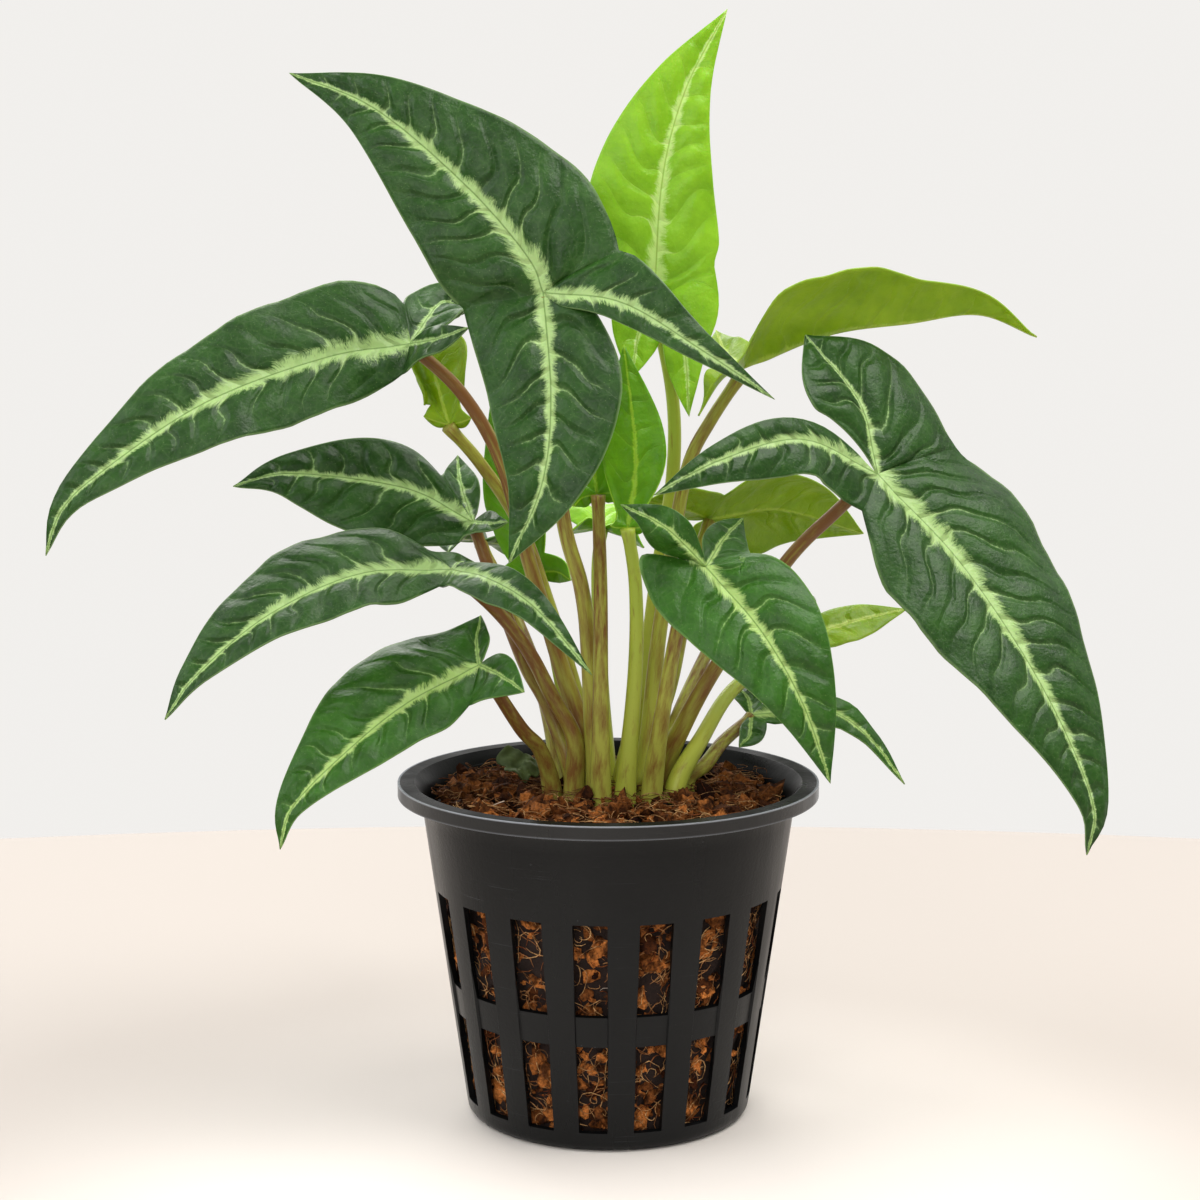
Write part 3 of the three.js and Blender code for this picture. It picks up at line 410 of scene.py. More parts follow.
# %% Leaf table
LEAVES = {
    "a": {
        "hub": (-16, -38, 220), "face": (-0.15, -0.9, 0.4), "finish": "dark", "notches": (20, 21),
        "parts": (0.5, 0.66),
        "front": (((-20, -37, 229), (-35, -32, 246), (-58, -24, 265), (-80, -16, 274)),
                  (16.5, 18.5), (0.32, 0.29)),
        "left": (((-14, -50, 195), (-16, -58, 175), (-24, -60, 156)), (18, 13), (0.36, 0.45)),
        "right": (((3, -46, 218), (22, -52, 207), (40, -54, 195)), (6, 5), (0.35, 0.35)),
        "stalk": ((-3, -7), (-5, -10, 126), (-7, -15, 144), (-12, -22, 166)),
    },
    "b": {
        "hub": (69, -14, 173), "face": (0.43, -0.78, 0.46), "finish": "dark", "notches": (27, 14),
        "front": (((90, -22, 151), (109, -34, 122), (121, -42, 94), (120, -43, 80)), (25, 24), (0.27, 0.32)),
        "left": (((65, -7, 191), (51, -1, 208)), (16, 18), (0.62, 0.55)),
        "right": (((49, -26, 183), (28, -38, 179), (11, -46, 171)), (9, 6)),
        "stalk": ((13.5, 2.5), (22, 0, 109), (33, -2, 128), (47, -6, 150), (59, -10, 163)),
    },
    "c": {
        "hub": (24, -44, 153), "face": (0.1, -0.9, 0.38), "finish": "green", "notches": (12, 4),
        "parts": (0.6, 0.93),
        "front": (((37, -54, 139), (47, -60, 122), (54, -60, 102)), (16, 17), (0.3, 0.3), (4, 17)),
        "left": (((29, -34, 159), (34, -26, 163)), (5, 6)),
        "right": (((14, -46, 163), (3, -40, 168)), (4, 5)),
        "stalk": ((11.5, -9.5), (14, -14, 110), (18, -20, 135), (20.5, -29, 145)),
    },
    "d": {
        "hub": (-51, -8, 206), "face": (-0.25, -0.9, 0.42), "finish": "dark", "notches": (10, 14),
        "parts": (0.5, 0.75),
        "front": (((-72, -14, 203), (-102, -24, 192), (-127, -34, 175), (-136, -37, 166), (-140, -38, 155)),
                  (15.5, 16), (0.34, 0.34)),
        "left": (((-43, -20, 208), (-35, -26, 211)), (4, 5)),
        "right": (((-44, 8, 216), (-38, 16, 213)), (9, 9)),
        "stalk": ((-2.3, -1.3), (-13, 1, 122), (-21, 0, 149), (-28, -2, 175), (-38, -4, 193)),
    },
    "e": {
        "hub": (-36, 8, 158), "face": (-0.1, -0.85, 0.5), "finish": "dark", "notches": (8, 17),
        "parts": (0.5, 0.62),
        "front": (((-54, 10, 167), (-84, 8, 171), (-99, 4, 168)), (16.5, 18), (0.42, 0.2)),
        "left": (((-31, -3, 159), (-26, -8, 160)), (4, 4)),
        "right": (((-40, 20, 168), (-41, 28, 174)), (6, 5)),
        "stalk": ((-8.5, -1), (-16, 4, 109), (-22, 5, 120), (-29, 6, 138)),
    },
    "f": {
        "hub": (-40, -20, 149), "face": (-0.2, -0.65, 0.73), "finish": "dark", "notches": (8, 10),
        "front": (((-63, -26, 149), (-85, -36, 140), (-102, -43, 126), (-110, -46, 115)),
                  (14, 16), (0.3, 0.38)),
        "left": (((-30, -36, 149), (-18, -46, 143), (-4, -50, 127)), (5, 6), (0.4, 0.4)),
        "right": (((-38, -13, 150), (-32, -6, 147)), (4, 4)),
        "stalk": ((-9, -7.5), (-9, -9, 103), (-15, -10, 115), (-21, -12, 127), (-29, -16, 138)),
    },
    "g": {
        "hub": (-33, -24, 125), "face": (-0.3, -0.85, 0.45), "finish": "green", "notches": (14, 19),
        "front": (((-51, -34, 117), (-66, -44, 106), (-78, -51, 94), (-81, -54, 84)),
                  (14, 17), (0.24, 0.32)),
        "left": (((-27, -34, 124), (-21, -40, 121)), (5.5, 8)),
        "right": (((-34, -17, 130), (-33, -12, 136)), (9, 4)),
        "stalk": ((-15, -5), (-18, -9, 100), (-23, -14, 107)),
    },
    "h": {
        "hub": (12, 4, 217), "face": (0.1, -0.95, 0.1), "finish": "lime", "notches": (15, 17),
        "front": (((14, 4, 248), (20, 8, 271), (31, 14, 292)), (18, 12.5), (0.3, 0.3)),
        "left": (((8, 0, 209), (6, -4, 197)), (6, 6)), "right": (((19, 0, 209), (21, -4, 187)), (4, 6)),
        "stalk": ((4, 4), (9, 6, 111), (13, 8, 143), (17, 9, 169), (17, 10, 191)),
    },
    "i": {
        "hub": (35, 4, 199), "face": (-0.15, 0.4, 0.9), "finish": "olive", "notches": (9, 10), "fold": 0.8,
        "front": (((58, 9, 208), (80, 12, 211), (98, 12, 213), (113, 10, 207)), (14, 18), (0.42, 0.27)),
        "left": (((31, 16, 203), (29, 26, 208)), (4, 4)), "right": (((29, -8, 197), (23, -14, 188)), (3, 4)),
        "stalk": ((6.5, -3), (10, -3, 95), (13, -1, 126), (17, 1, 153), (21, 1, 174), (27, 1, 186)),
    },
    "j": {
        "hub": (5, -20, 160), "face": (0.1, 0.95, 0.2), "finish": "lime", "notches": (5, 5),
        "front": (((7, -17, 178), (4, -9, 206)), (8, 9), (0.42, 0.42)),
        "left": (((7.5, -20.5, 160), (9.5, -21, 160.5)), (2, 2.5)),
        "right": (((2.5, -20.5, 160), (0.5, -21, 160.5)), (2.5, 2)),
        "stalk": ((4.5, -12), (7, -14, 122), (7, -17, 144)),
    },
    "k": {
        "hub": (28, 34, 156), "face": (0, 0.7, 0.7), "finish": "olive", "notches": (9, 9),
        "front": (((48, 42, 158), (72, 50, 150)), (20, 14), (0.42, 0.42)),
        "left": (((28, 41, 150), (27, 44, 144)), (5, 4)), "right": (((20, 28, 160), (10, 24, 162)), (8, 8)),
        "stalk": ((7, 11), (16, 16, 110), (21, 22, 132), (25, 29, 148)),
    },
    "l": {
        "hub": (53, 36, 122), "face": (0.1, -0.6, 0.8), "finish": "lime", "notches": (4, 4),
        "front": (((68, 42, 126), (84, 46, 129)), (6, 8), (0.42, 0.42)),
        "left": (((50, 42, 124), (44, 46, 124)), (3, 3)), "right": (((50, 30, 121), (46, 26, 119)), (3, 3)),
        "stalk": ((18, -3.5), (25, 2, 101), (33, 14, 111), (44, 27, 117)),
    },
    "m": {
        "hub": (39, 18, 104), "face": (0.1, -0.6, 0.8), "finish": "green", "notches": (5, 5),
        "front": (((60, 24, 104), (72, 26, 96), (82, 26, 83)), (5, 5), (0.4, 0.4)),
        "left": (((38, 26, 108), (34, 32, 110)), (4, 4)), "right": (((38, 10, 100), (35, 4, 98)), (4, 3)),
        "stalk": ((21, 3), (26, 5, 93), (31, 11, 98)),
    },
    "n": {
        "hub": (-42, 8, 184), "face": (0.3, 0.85, 0.4), "finish": "olive", "notches": (7, 8),
        "front": (((-46, 13, 198), (-50, 19, 214)), (13, 15), (0.45, 0.45)),
        "left": (((-38.5, 6.5, 185), (-36, 5.5, 186)), (2, 4)),
        "right": (((-46, 10, 185), (-49, 11.5, 186)), (5, 2)),
        "stalk": ((-6, 5), (-9, 7, 112), (-17, 12, 138), (-24, 15, 157), (-34, 13, 173)),
    },
    "o": {
        "hub": (-2, 46, 152), "face": (0, 0.6, 0.8), "finish": "lime", "notches": (7, 7),
        "front": (((-4, 62, 156), (-8, 82, 150)), (11, 11), (0.42, 0.42)),
        "left": (((-9, 42, 152), (-13, 37, 150)), (5, 5)), "right": (((6, 44, 150), (10, 41, 147)), (5, 5)),
        "stalk": ((-0.5, 10.5), (-2, 21, 115), (-3, 36, 140)),
    },
    "q": {
        "hub": (-3, -14, 168), "face": (-0.3, 0.9, 0.2), "finish": "lime", "notches": (5, 5),
        "front": (((-5, -11, 184), (-7, -7, 204)), (6, 7), (0.42, 0.42)),
        "left": (((1, -13, 168), (4, -13, 166)), (3, 3)),
        "right": (((-7, -15, 167), (-9, -17, 165)), (3, 3)),
        "stalk": ((-2, -13), (-2, -16, 122), (-2, -16, 144)),
    },
    "r": {
        "hub": (-21, 24, 142), "face": (0.2, 0.9, 0.3), "finish": "lime", "notches": (7, 7),
        "front": (((-27, 28, 164), (-32, 28, 188)), (8, 8), (0.42, 0.42)),
        "left": (((-14, 22, 143), (-10, 18, 141)), (4, 4)),
        "right": (((-27, 26, 139), (-30, 25, 134)), (4, 4)),
        "stalk": ((-8, 11), (-12, 15, 110), (-16, 19, 128)),
    },
    "s": {
        "hub": (-36, 48, 148), "face": (-0.2, 0.5, 0.85), "finish": "dark", "notches": (9, 9),
        "front": (((-50, 66, 152), (-60, 88, 146), (-66, 106, 132)), (14, 14), (0.36, 0.36)),
        "left": (((-42, 39, 150), (-44, 31, 147)), (6, 6)),
        "right": (((-26, 52, 146), (-19, 52, 141)), (6, 6)),
        "stalk": ((-12.5, 5.5), (-18, 16, 112), (-28, 34, 134)),
    },
    "t": {
        "hub": (36, 46, 132), "face": (0.3, 0.5, 0.8), "finish": "dark", "notches": (8, 8),
        "front": (((46, 66, 132), (54, 86, 120), (58, 98, 102)), (12, 12), (0.36, 0.36)),
        "left": (((28, 48, 132), (22, 46, 131)), (4, 4)), "right": (((42, 41, 132), (44, 35, 130)), (4, 4)),
        "stalk": ((13.5, 9), (19, 16, 104), (28, 33, 120)),
    },
}
SMALL_LEAVES = "jlmnqr"
BLADE_FOLD = 0.22
BLADE_ARCH_RADIUS = 55.0
WAVE_HEIGHT = 0.9
WAVE_LENGTH = 26.0
RIPPLE_HEIGHT = 0.2
RIPPLE_LENGTH = 8.5
JOIN_PART = 0.14
JOIN_ROWS = 2
FRONT_ROWS = 9
SIDE_ROWS = 6
print("leaves:", len(LEAVES))

# %% [markdown]
# A midrib is a smooth line through its points. A Catmull-Rom curve passes through every point, which suits a
# shape that was read off the real leaf, and a table of its length lets a place be given in millimetres
# along the rib. Arrays handle all the places of a blade at once.

# %% A smooth line by its length
class Rib:
    STEPS = 200

    def __init__(self, points):
        knots = np.array(points, float)
        self.knots = np.vstack([2 * knots[0] - knots[1], knots, 2 * knots[-1] - knots[-2]])
        self.spans = len(knots) - 1
        self.parts = np.linspace(0, 1, self.STEPS + 1)
        line, _ = self.on_curve(self.parts)
        steps = np.linalg.norm(np.diff(line, axis=0), axis=1)
        self.lengths = np.concatenate([[0], np.cumsum(steps)])
        self.length = self.lengths[-1]

    def on_curve(self, part):
        scaled = np.clip(part, 0, 1) * self.spans
        span = np.minimum(scaled.astype(int), self.spans - 1)
        t = (scaled - span)[..., None]
        before, start, end, after = (self.knots[span + offset] for offset in range(4))
        leave = 0.5 * (end - before)
        arrive = 0.5 * (after - start)
        cubic = 2 * start - 2 * end + leave + arrive
        square = 3 * end - 3 * start - 2 * leave - arrive
        point = ((cubic * t + square) * t + leave) * t + start
        slope = (3 * cubic * t + 2 * square) * t + leave
        return point, slope / np.linalg.norm(slope, axis=-1, keepdims=True)

    def at(self, along):
        return self.on_curve(np.interp(along, self.lengths, self.parts))

# %% [markdown]
# A lobe turns a flat place, so far along its rib and so far across, into a place on the bent leaf. The
# blade is folded up a little along the rib, arches down towards its margin, and waves along it.

# %% A lobe
def dot(first, second):
    return np.sum(first * second, axis=-1, keepdims=True)


def smoothstep(value, low, high):
    part = np.clip((value - low) / (high - low), 0, 1)
    return part * part * (3 - 2 * part)


class Lobe:
    def __init__(self, leaf, name):
        points, self.widths, *rest = leaf[name]
        self.rib = Rib([leaf["hub"], *points])
        self.length = self.rib.length
        self.widest = rest[0] if rest else (0.5, 0.5)
        self.back = rest[1] if len(rest) > 1 else (0, 0)
        self.fold = leaf.get("fold", BLADE_FOLD)
        self.face = np.array(leaf["face"]) / np.linalg.norm(leaf["face"])
        self.turn = 0.0
        self.notch_part = 0.5

    def frame_at(self, along):
        point, tangent = self.rib.at(along)
        point = point + tangent * np.minimum(along, 0)[..., None]
        normal = self.face - tangent * dot(tangent, self.face)
        normal = normal / np.linalg.norm(normal, axis=-1, keepdims=True)
        return point, tangent, normal, np.cross(normal, tangent)

    def wave(self, along, across):
        reach = np.minimum(1, np.abs(across) / max(self.widths))
        side = np.sign(across)
        swing = WAVE_HEIGHT * np.sin(2 * np.pi * along / WAVE_LENGTH + 1.3 * side)
        ripple = RIPPLE_HEIGHT * np.sin(2 * np.pi * along / RIPPLE_LENGTH + 2.1 * side + self.length)
        return (swing + ripple * reach ** 2) * reach ** 2

    def place(self, along, across, lift):
        point, _, normal, left = self.frame_at(along)
        rise = self.fold * (np.sqrt(across ** 2 + 1) - 1) - across ** 2 / (2 * BLADE_ARCH_RADIUS)
        rise = rise + self.wave(along, across) + lift
        return point + left * across[..., None] + normal * rise[..., None]

    def width(self, side, along):
        half = 0 if side > 0 else 1
        part = np.clip((along + self.back[half]) / (self.length + self.back[half]), 0, 1)
        power = math.log(0.5) / math.log(self.widest[half])
        return self.widths[half] * np.sin(np.pi * part ** power) ** 0.9 * (1 - 0.3 * part ** 3)


def bend_blade(front, pair, own, along, across, lift):
    """Places near the notch are a mix of what the two lobes give, so no crease shows there."""
    distance = np.hypot(along, across)
    angle = own.turn + np.arctan2(across, along)
    spread = 0.5 * min(pair.notch_part, 1 - pair.notch_part)
    share = smoothstep(angle / pair.turn, pair.notch_part - spread, pair.notch_part + spread)[..., None]
    on_front = front.place(distance * np.cos(angle), distance * np.sin(angle), lift)
    turned = angle - pair.turn
    on_pair = pair.place(distance * np.cos(turned), distance * np.sin(turned), lift)
    return on_front * (1 - share) + on_pair * share

# %% [markdown]
# Half a lobe is a sheet from the midrib to the margin. Its margin is first given at a few stations, and a
# smooth line through them gives the fine sheet a clean edge. Along the join to the next lobe the line stays
# straight, so that the sheets of both lobes share its points.

# %% The margin of half a lobe
def margin_stations(pair, own, side, notch, rows):
    join_along = own.length * JOIN_PART
    join_angle = pair.turn * pair.notch_part - own.turn
    notch_along = notch * math.cos(join_angle)
    back = own.back[0 if side > 0 else 1]
    step_in = 0.0
    if notch and not back:
        step_in = notch * abs(math.sin(join_angle)) - own.width(side, notch_along)
    stations = []
    for row in range(rows + 1):
        joined = min(1, row / JOIN_ROWS)
        free = max(0, (row - JOIN_ROWS) / (rows - JOIN_ROWS))
        rib = join_along * joined + (own.length - join_along) * free
        start = -back if back else notch_along
        along = start + (own.length - start) * (free ** 1.4 if back else free)
        across = side * (own.width(side, along) + step_in * (1 - free) ** 4)
        if notch == 0:
            along = rib
            across = side * own.width(side, rib)
        elif free == 0:
            along = notch * joined * math.cos(join_angle)
            across = notch * joined * math.sin(join_angle)
        stations.append((rib, along, across))
    return np.array(stations)


def fine_margin(stations, first, steps):
    """Points at steps to a station: straight before the first free station, a smooth line after it."""
    free = stations[first:]
    padded = np.vstack([2 * free[0] - free[1], free, 2 * free[-1] - free[-2]])
    fine = []
    for step in range((len(stations) - 1) * steps + 1):
        row = min(step // steps, len(stations) - 2)
        t = step / steps - row
        straight = stations[row] * (1 - t) + stations[row + 1] * t
        if row < first:
            fine.append(straight)
            continue
        before, start, end, after = padded[row - first:row - first + 4]
        bend = 2 * before - 5 * start + 4 * end - after
        smooth = start + 0.5 * t * (end - before + t * (bend + t * (3 * start - before - 3 * end + after)))
        fine.append(np.array([straight[0], smooth[1], smooth[2]]))
    return np.array(fine)

# %% [markdown]
# Side veins leave the midrib at about 60 degrees and curve towards the tip. The blade puffs up between them,
# and on its upper side the midrib lies in a groove. A slanted measure along the rib, called lag here, is the
# same all along one vein. It places the puffs in the mesh, and a UV map carries it to the material, so that
# the pale lines of the veins lie in the valleys.

# %% Relief of the veins
VEIN_SPACING = 8.2
PUFF_HEIGHT = 0.85
GROOVE_DEPTH = 0.5


def vein_lag(across, along, side):
    """No two veins run quite alike, so slow waves with their own phases push each one to and fro."""
    reach = np.abs(across)
    phase = [random.uniform(0, 2 * math.pi) for _ in range(3)]
    sway = 1.6 * np.sin(2 * np.pi * along / 37 + phase[0])
    sway = sway + 1.0 * np.sin(2 * np.pi * (reach / 15 + along / 51) + phase[1])
    sway = sway + 0.6 * np.sin(2 * np.pi * (reach / 8 - along / 19) + phase[2])
    start = 0.45 * VEIN_SPACING if side < 0 else 0
    return along - 0.5 * reach - 0.017 * reach ** 2 + start + sway * smoothstep(reach, 0.0, 3.0)


def relief(own, along, across, share, lag):
    off_vein = np.abs((lag / VEIN_SPACING + 0.5) % 1 - 0.5) * VEIN_SPACING
    puff = 1 - np.exp(-(off_vein / 1.7) ** 2)
    inside = smoothstep(np.abs(across), 0.5, 4.0) * (1 - smoothstep(share, 0.55, 1.0))
    size = min(1.0, max(own.widths) / 15)
    groove = np.exp(-(across / 1.1) ** 2) * (1 - smoothstep(along / own.length, 0.5, 1.0))
    return size * (PUFF_HEIGHT * puff * inside - GROOVE_DEPTH * groove * smoothstep(along, 0.0, 5.0))


def add_half(bm, layers, front, pair, own, side, notch, rows, steps, columns):
    fine = fine_margin(margin_stations(pair, own, side, notch, rows), JOIN_ROWS if notch else 0, steps)
    share = np.linspace(0, 1, columns + 1)[None, :] + np.zeros((len(fine), 1))
    along = fine[:, 0:1] * (1 - share) + fine[:, 1:2] * share
    across = fine[:, 2:3] * share
    lag = vein_lag(across, along, side)
    lift = relief(own, along, across, share, lag)
    lift = lift * smoothstep(np.hypot(along, across), 2.0, 8.0)
    places = bend_blade(front, pair, own, along, across, lift) * MM
    corners = rolled_grid(bm, len(fine) - 1, columns, lambda row, column: Vector(places[row, column]))
    band = 0.25 + 0.026 * own.length * np.clip(1 - along / own.length, 0, 1)
    past_join = smoothstep(np.arange(len(fine)) / steps, JOIN_ROWS, JOIN_ROWS + 0.5)[:, None]
    drawn = share * (0.9 + 0.1 * past_join) if notch else share
    faces = {face for vert in corners for face in vert.link_faces}
    for face in faces:
        for loop in face.loops:
            spot = corners[loop.vert]
            reach = abs(across[spot])
            loop[layers[0]].uv = (lag[spot] / 100, reach / 100)
            loop[layers[1]].uv = (reach / band[spot], drawn[spot])
    if side < 0:
        bmesh.ops.reverse_faces(bm, faces=list(faces))

# %% [markdown]
# The skin of a leaf is living tissue under a thin waxy cuticle: satin, with broad soft highlights, and a
# little light passes through it. On this plant a pale band runs along each midrib and feathers out into the
# side veins. Two UV maps follow the blade: the first holds lag and reach in millimetres over 100, the second
# how far across the pale band and the blade a place is. That last share stays short of the margin along the
# joins, because no pale rim runs between two lobes. Everything else is noise at real sizes.

# %% Leaf cuticle
FRAY_MM = 0.8
PATCHY_MM = 4.5
SPIKE_MM = 0.45
DRIFT_MM = 6.0
MOTTLE_MM = 9.0
CRINKLE_MM = 5.5
CELL_MM = 2.8
SPECK_MM = 0.9


def leaf_skin(name, tones, pale, vein_tone, rib, vein_strength, relief_strength, glow, band_scale=1.0):
    """Upper or lower skin: tones are the dark and light greens, pale is the band along the rib, and rib is
    the tone of a thin line of painted shade along the midrib's groove.
    """
    material, tree, shader, coords = new_material(name)
    lag, reach, _ = add(tree, "SeparateXYZ", {0: add(tree, "UVMap", uv_map="Vein")}).outputs
    band, share, _ = add(tree, "SeparateXYZ", {0: add(tree, "UVMap", uv_map="Span")}).outputs

    # Distance to the nearest side vein, as a part of the spacing, frayed by fine noise
    fray = cloud(tree, coords, FRAY_MM, 3.0)
    slow = cloud(tree, coords, PATCHY_MM, 2.0)
    count = maths(tree, "MULTIPLY", lag, 100 / VEIN_SPACING)
    bent = maths(tree, "MULTIPLY_ADD", slow, 0.12, count)
    off_vein = maths(tree, "PINGPONG", bent, 0.5)
    barb = remap(tree, fray, 0.4, 0.7, 0.012, -0.032)
    frayed = maths(tree, "ADD", off_vein, barb)

    # Each vein has its own strength and length by its number
    number = maths(tree, "ROUND", bent)
    luck = add(tree, "TexWhiteNoise", {"W": number}, noise_dimensions="1D")
    stop = maths(tree, "MULTIPLY_ADD", luck, 0.55, 0.3)
    spent = maths(tree, "DIVIDE", share, stop)
    fade = remap(tree, spent, 0.2, 1.1, 1.0, 0.08)
    width = remap(tree, spent, 0.0, 1.2, 0.036, 0.009)
    inner = maths(tree, "DIVIDE", frayed, width)
    line = remap(tree, inner, -0.2, 1.2, 1.0, 0.0)
    haze = remap(tree, inner, 0.0, 5.0, 0.2, 0.0)
    patchy = remap(tree, slow, 0.35, 0.6, 0.4)
    drawn = maths(tree, "MULTIPLY_ADD", line, patchy, haze)
    kept = remap(tree, luck, 0.0, 1.0, 0.3 * vein_strength, vein_strength)
    strength = maths(tree, "MULTIPLY", kept, fade)
    vein = maths(tree, "MULTIPLY", drawn, strength, use_clamp=True)

    # Pale band: its edge wanders, fine spikes fray it, and it reaches out where a side vein leaves the rib
    squeezed = maths(tree, "MULTIPLY", reach, 0.3)
    place = add(tree, "CombineXYZ", {0: lag, 1: squeezed})
    spikes = add(tree, "TexNoise", {"Vector": place, "Scale": 100 / SPIKE_MM, "Detail": 4.0,
                                    "Roughness": 0.7})
    tuft = remap(tree, slow, 0.4, 0.62, 0.5)
    spike = remap(tree, spikes, 0.35, 0.7, 0.3, -0.9, clamp=False)
    fringe = maths(tree, "MULTIPLY", spike, tuft)
    drift = add(tree, "TexNoise", {"Vector": place, "Scale": 100 / DRIFT_MM, "Detail": 2.0})
    edge_shift = remap(tree, drift, 0.35, 0.65, 0.35, -0.45, clamp=False)
    root = remap(tree, off_vein, 0.0, 0.16, -0.8, 0.0)
    root_kept = maths(tree, "MULTIPLY_ADD", root, luck, edge_shift)
    shift = maths(tree, "ADD", fringe, root_kept)
    wide = maths(tree, "MULTIPLY_ADD", band, band_scale, shift)
    pale_band = remap(tree, wide, 0.35, 1.15, 0.97, 0.0)

    # Net of the smallest veins, pale specks, and slow patches of lighter green
    net = add(tree, "TexVoronoi", {"Vector": coords, "Scale": 1000 / CELL_MM}, feature="DISTANCE_TO_EDGE")
    net_line = remap(tree, net, 0.0, 0.12, 0.045, 0.0)
    net_drawn = maths(tree, "MULTIPLY", net_line, patchy)
    speck = add(tree, "TexVoronoi", {"Vector": coords, "Scale": 1000 / SPECK_MM})
    dots = remap(tree, speck, 0.06, 0.15, 0.22, 0.0)
    mottle = cloud(tree, coords, MOTTLE_MM, 5.0, 0.6)
    patches = remap(tree, mottle, 0.32, 0.68)

    # A thin darker line along the middle of the midrib is painted shade of its groove.
    painted_groove_shade = remap(tree, reach, 0.0008, 0.003, 0.75, 0.0)
    edge = remap(tree, share, 0.965, 0.995, 0.0, 0.35)
    colour = mix(tree, patches, tones[0], tones[1])
    for fac, tone in ((net_drawn, vein_tone), (dots, pale), (vein, vein_tone), (pale_band, pale),
                      (painted_groove_shade, rib), (edge, vein_tone)):
        colour = mix(tree, fac, colour, tone)

    shine = remap(tree, mottle, 0.0, 1.0, 0.3, 0.49)
    crinkle = cloud(tree, coords, CRINKLE_MM, 3.0)
    ridge = remap(tree, off_vein, 0.0, 0.24, interpolation_type="SMOOTHSTEP")
    inland = remap(tree, share, 0.4, 0.95, 1.0, 0.0)
    quilt = maths(tree, "MULTIPLY", ridge, inland)
    pores = maths(tree, "MULTIPLY_ADD", net, 0.5, fray)
    sunk = maths(tree, "MULTIPLY_ADD", line, -0.8, pores)
    surface = add(tree, "NewGeometry").outputs["Normal"]
    reliefs = ((quilt, relief_strength, 0.001), (crinkle, 0.5, 0.0011), (sunk, 0.45, 0.0003))
    for height, strength, distance in reliefs:
        surface = add(tree, "Bump", {"Height": height, "Normal": surface, "Strength": strength,
                                     "Distance": distance})
    feed(tree, shader, {"Base Color": colour, "Roughness": shine, "Normal": surface, "IOR": 1.42,
                        "Specular IOR Level": 0.37, "Subsurface Weight": glow,
                        "Subsurface Radius": (0.35, 1.0, 0.12), "Subsurface Scale": 0.0012})
    return material


SKINS = {
    "dark": leaf_skin("dark_leaf_cuticle", ("#193a0d", "#2b5417"), "#abca82", "#9cbe7c", "#5f8038",
                      0.85, 0.7, 0.06),
    "green": leaf_skin("green_leaf_cuticle", ("#224a0c", "#356818"), "#aecd78", "#98c070", "#618638",
                       0.85, 0.7, 0.08),
    "lime": leaf_skin("young_leaf_cuticle", ("#7aae12", "#94c826"), "#c6e286", "#a8d04a", "#90b438",
                      0.6, 0.25, 0.25),
    "olive": leaf_skin("olive_leaf_cuticle", ("#6e8e12", "#88a622"), "#b5c864", "#9ab338", "#94a83a",
                       0.6, 0.4, 0.2),
}
UNDERSIDES = {
    "dark": leaf_skin("dark_leaf_underside", ("#3e6424", "#52762e"), "#93ad5c", "#72924a", "#89a452",
                      0.4, 0.5, 0.1, 2.2),
    "green": leaf_skin("green_leaf_underside", ("#446e1e", "#58862a"), "#98b65c", "#78983c", "#8cac50",
                       0.4, 0.5, 0.1, 2.2),
    "lime": leaf_skin("young_leaf_underside", ("#508802", "#66a008"), "#94bc2c", "#7cac1c", "#8cb42c",
                      0.5, 0.3, 0.25, 2.2),
    "olive": leaf_skin("olive_leaf_underside", ("#74960a", "#8aaa12"), "#a4bc3c", "#90ac2c", "#9cb438",
                       0.5, 0.35, 0.2, 2.2),
}
print("leaf skins:", len(SKINS) + len(UNDERSIDES))

# %% [markdown]
# A living blade is thin, about half a millimetre here, so each blade is one sheet of six half-lobes that
# Solidify thickens at the end. The half-lobes share their points along the midribs and joins, and are merged
# there. The underside gets its own, paler material from Solidify. Leaf l is lime in the measured model, but
# it is seen in the shade of others, where it looks olive, so it gets that skin.

# %% Leaf blades
BLADE_THICKNESS = 0.5
BIG_STEPS, BIG_COLUMNS = 6, 14
SMALL_STEPS, SMALL_COLUMNS = 3, 8


def blade_bmesh(leaf, steps, columns):
    front = Lobe(leaf, "front")
    _, tangent, _, left = front.frame_at(np.array([0.0]))
    bm = bmesh.new()
    layers = (bm.loops.layers.uv.new("Vein"), bm.loops.layers.uv.new("Span"))
    parts = leaf.get("parts", (0.5, 0.5))
    for side, name, notch, part in zip((1, -1), ("left", "right"), leaf["notches"], parts):
        pair = Lobe(leaf, name)
        _, start, _, _ = pair.frame_at(np.array([0.0]))
        pair.turn = math.atan2(float(dot(start, left)[0, 0]), float(dot(start, tangent)[0, 0]))
        pair.turn += 0 if pair.turn * side > 0 else side * 2 * math.pi
        pair.notch_part = part
        add_half(bm, layers, front, pair, front, side, notch, FRONT_ROWS, steps, columns)
        add_half(bm, layers, front, pair, pair, -side, notch, SIDE_ROWS, steps, columns)
        add_half(bm, layers, front, pair, pair, side, 0, SIDE_ROWS, steps, columns)
    bmesh.ops.remove_doubles(bm, verts=bm.verts, dist=1e-6)
    return bm


random.seed(7)
for letter, leaf in LEAVES.items():
    small = letter in SMALL_LEAVES
    bm = blade_bmesh(leaf, SMALL_STEPS if small else BIG_STEPS, SMALL_COLUMNS if small else BIG_COLUMNS)
    open_edges = sum(1 for edge in bm.edges if len(edge.link_faces) != 2)
    finish = leaf["finish"]
    tint = "olive" if letter == "l" else finish
    node = f"leaf_{letter}_blade"
    skins = [SKINS[tint], UNDERSIDES[tint]]
    blade = finish_piece(bm, node + "_fine", skins, [node])
    thicken(blade, "thin_blade", BLADE_THICKNESS).material_offset = 1
    print(node, "faces", len(blade.data.polygons), "edges on the margin", open_edges)

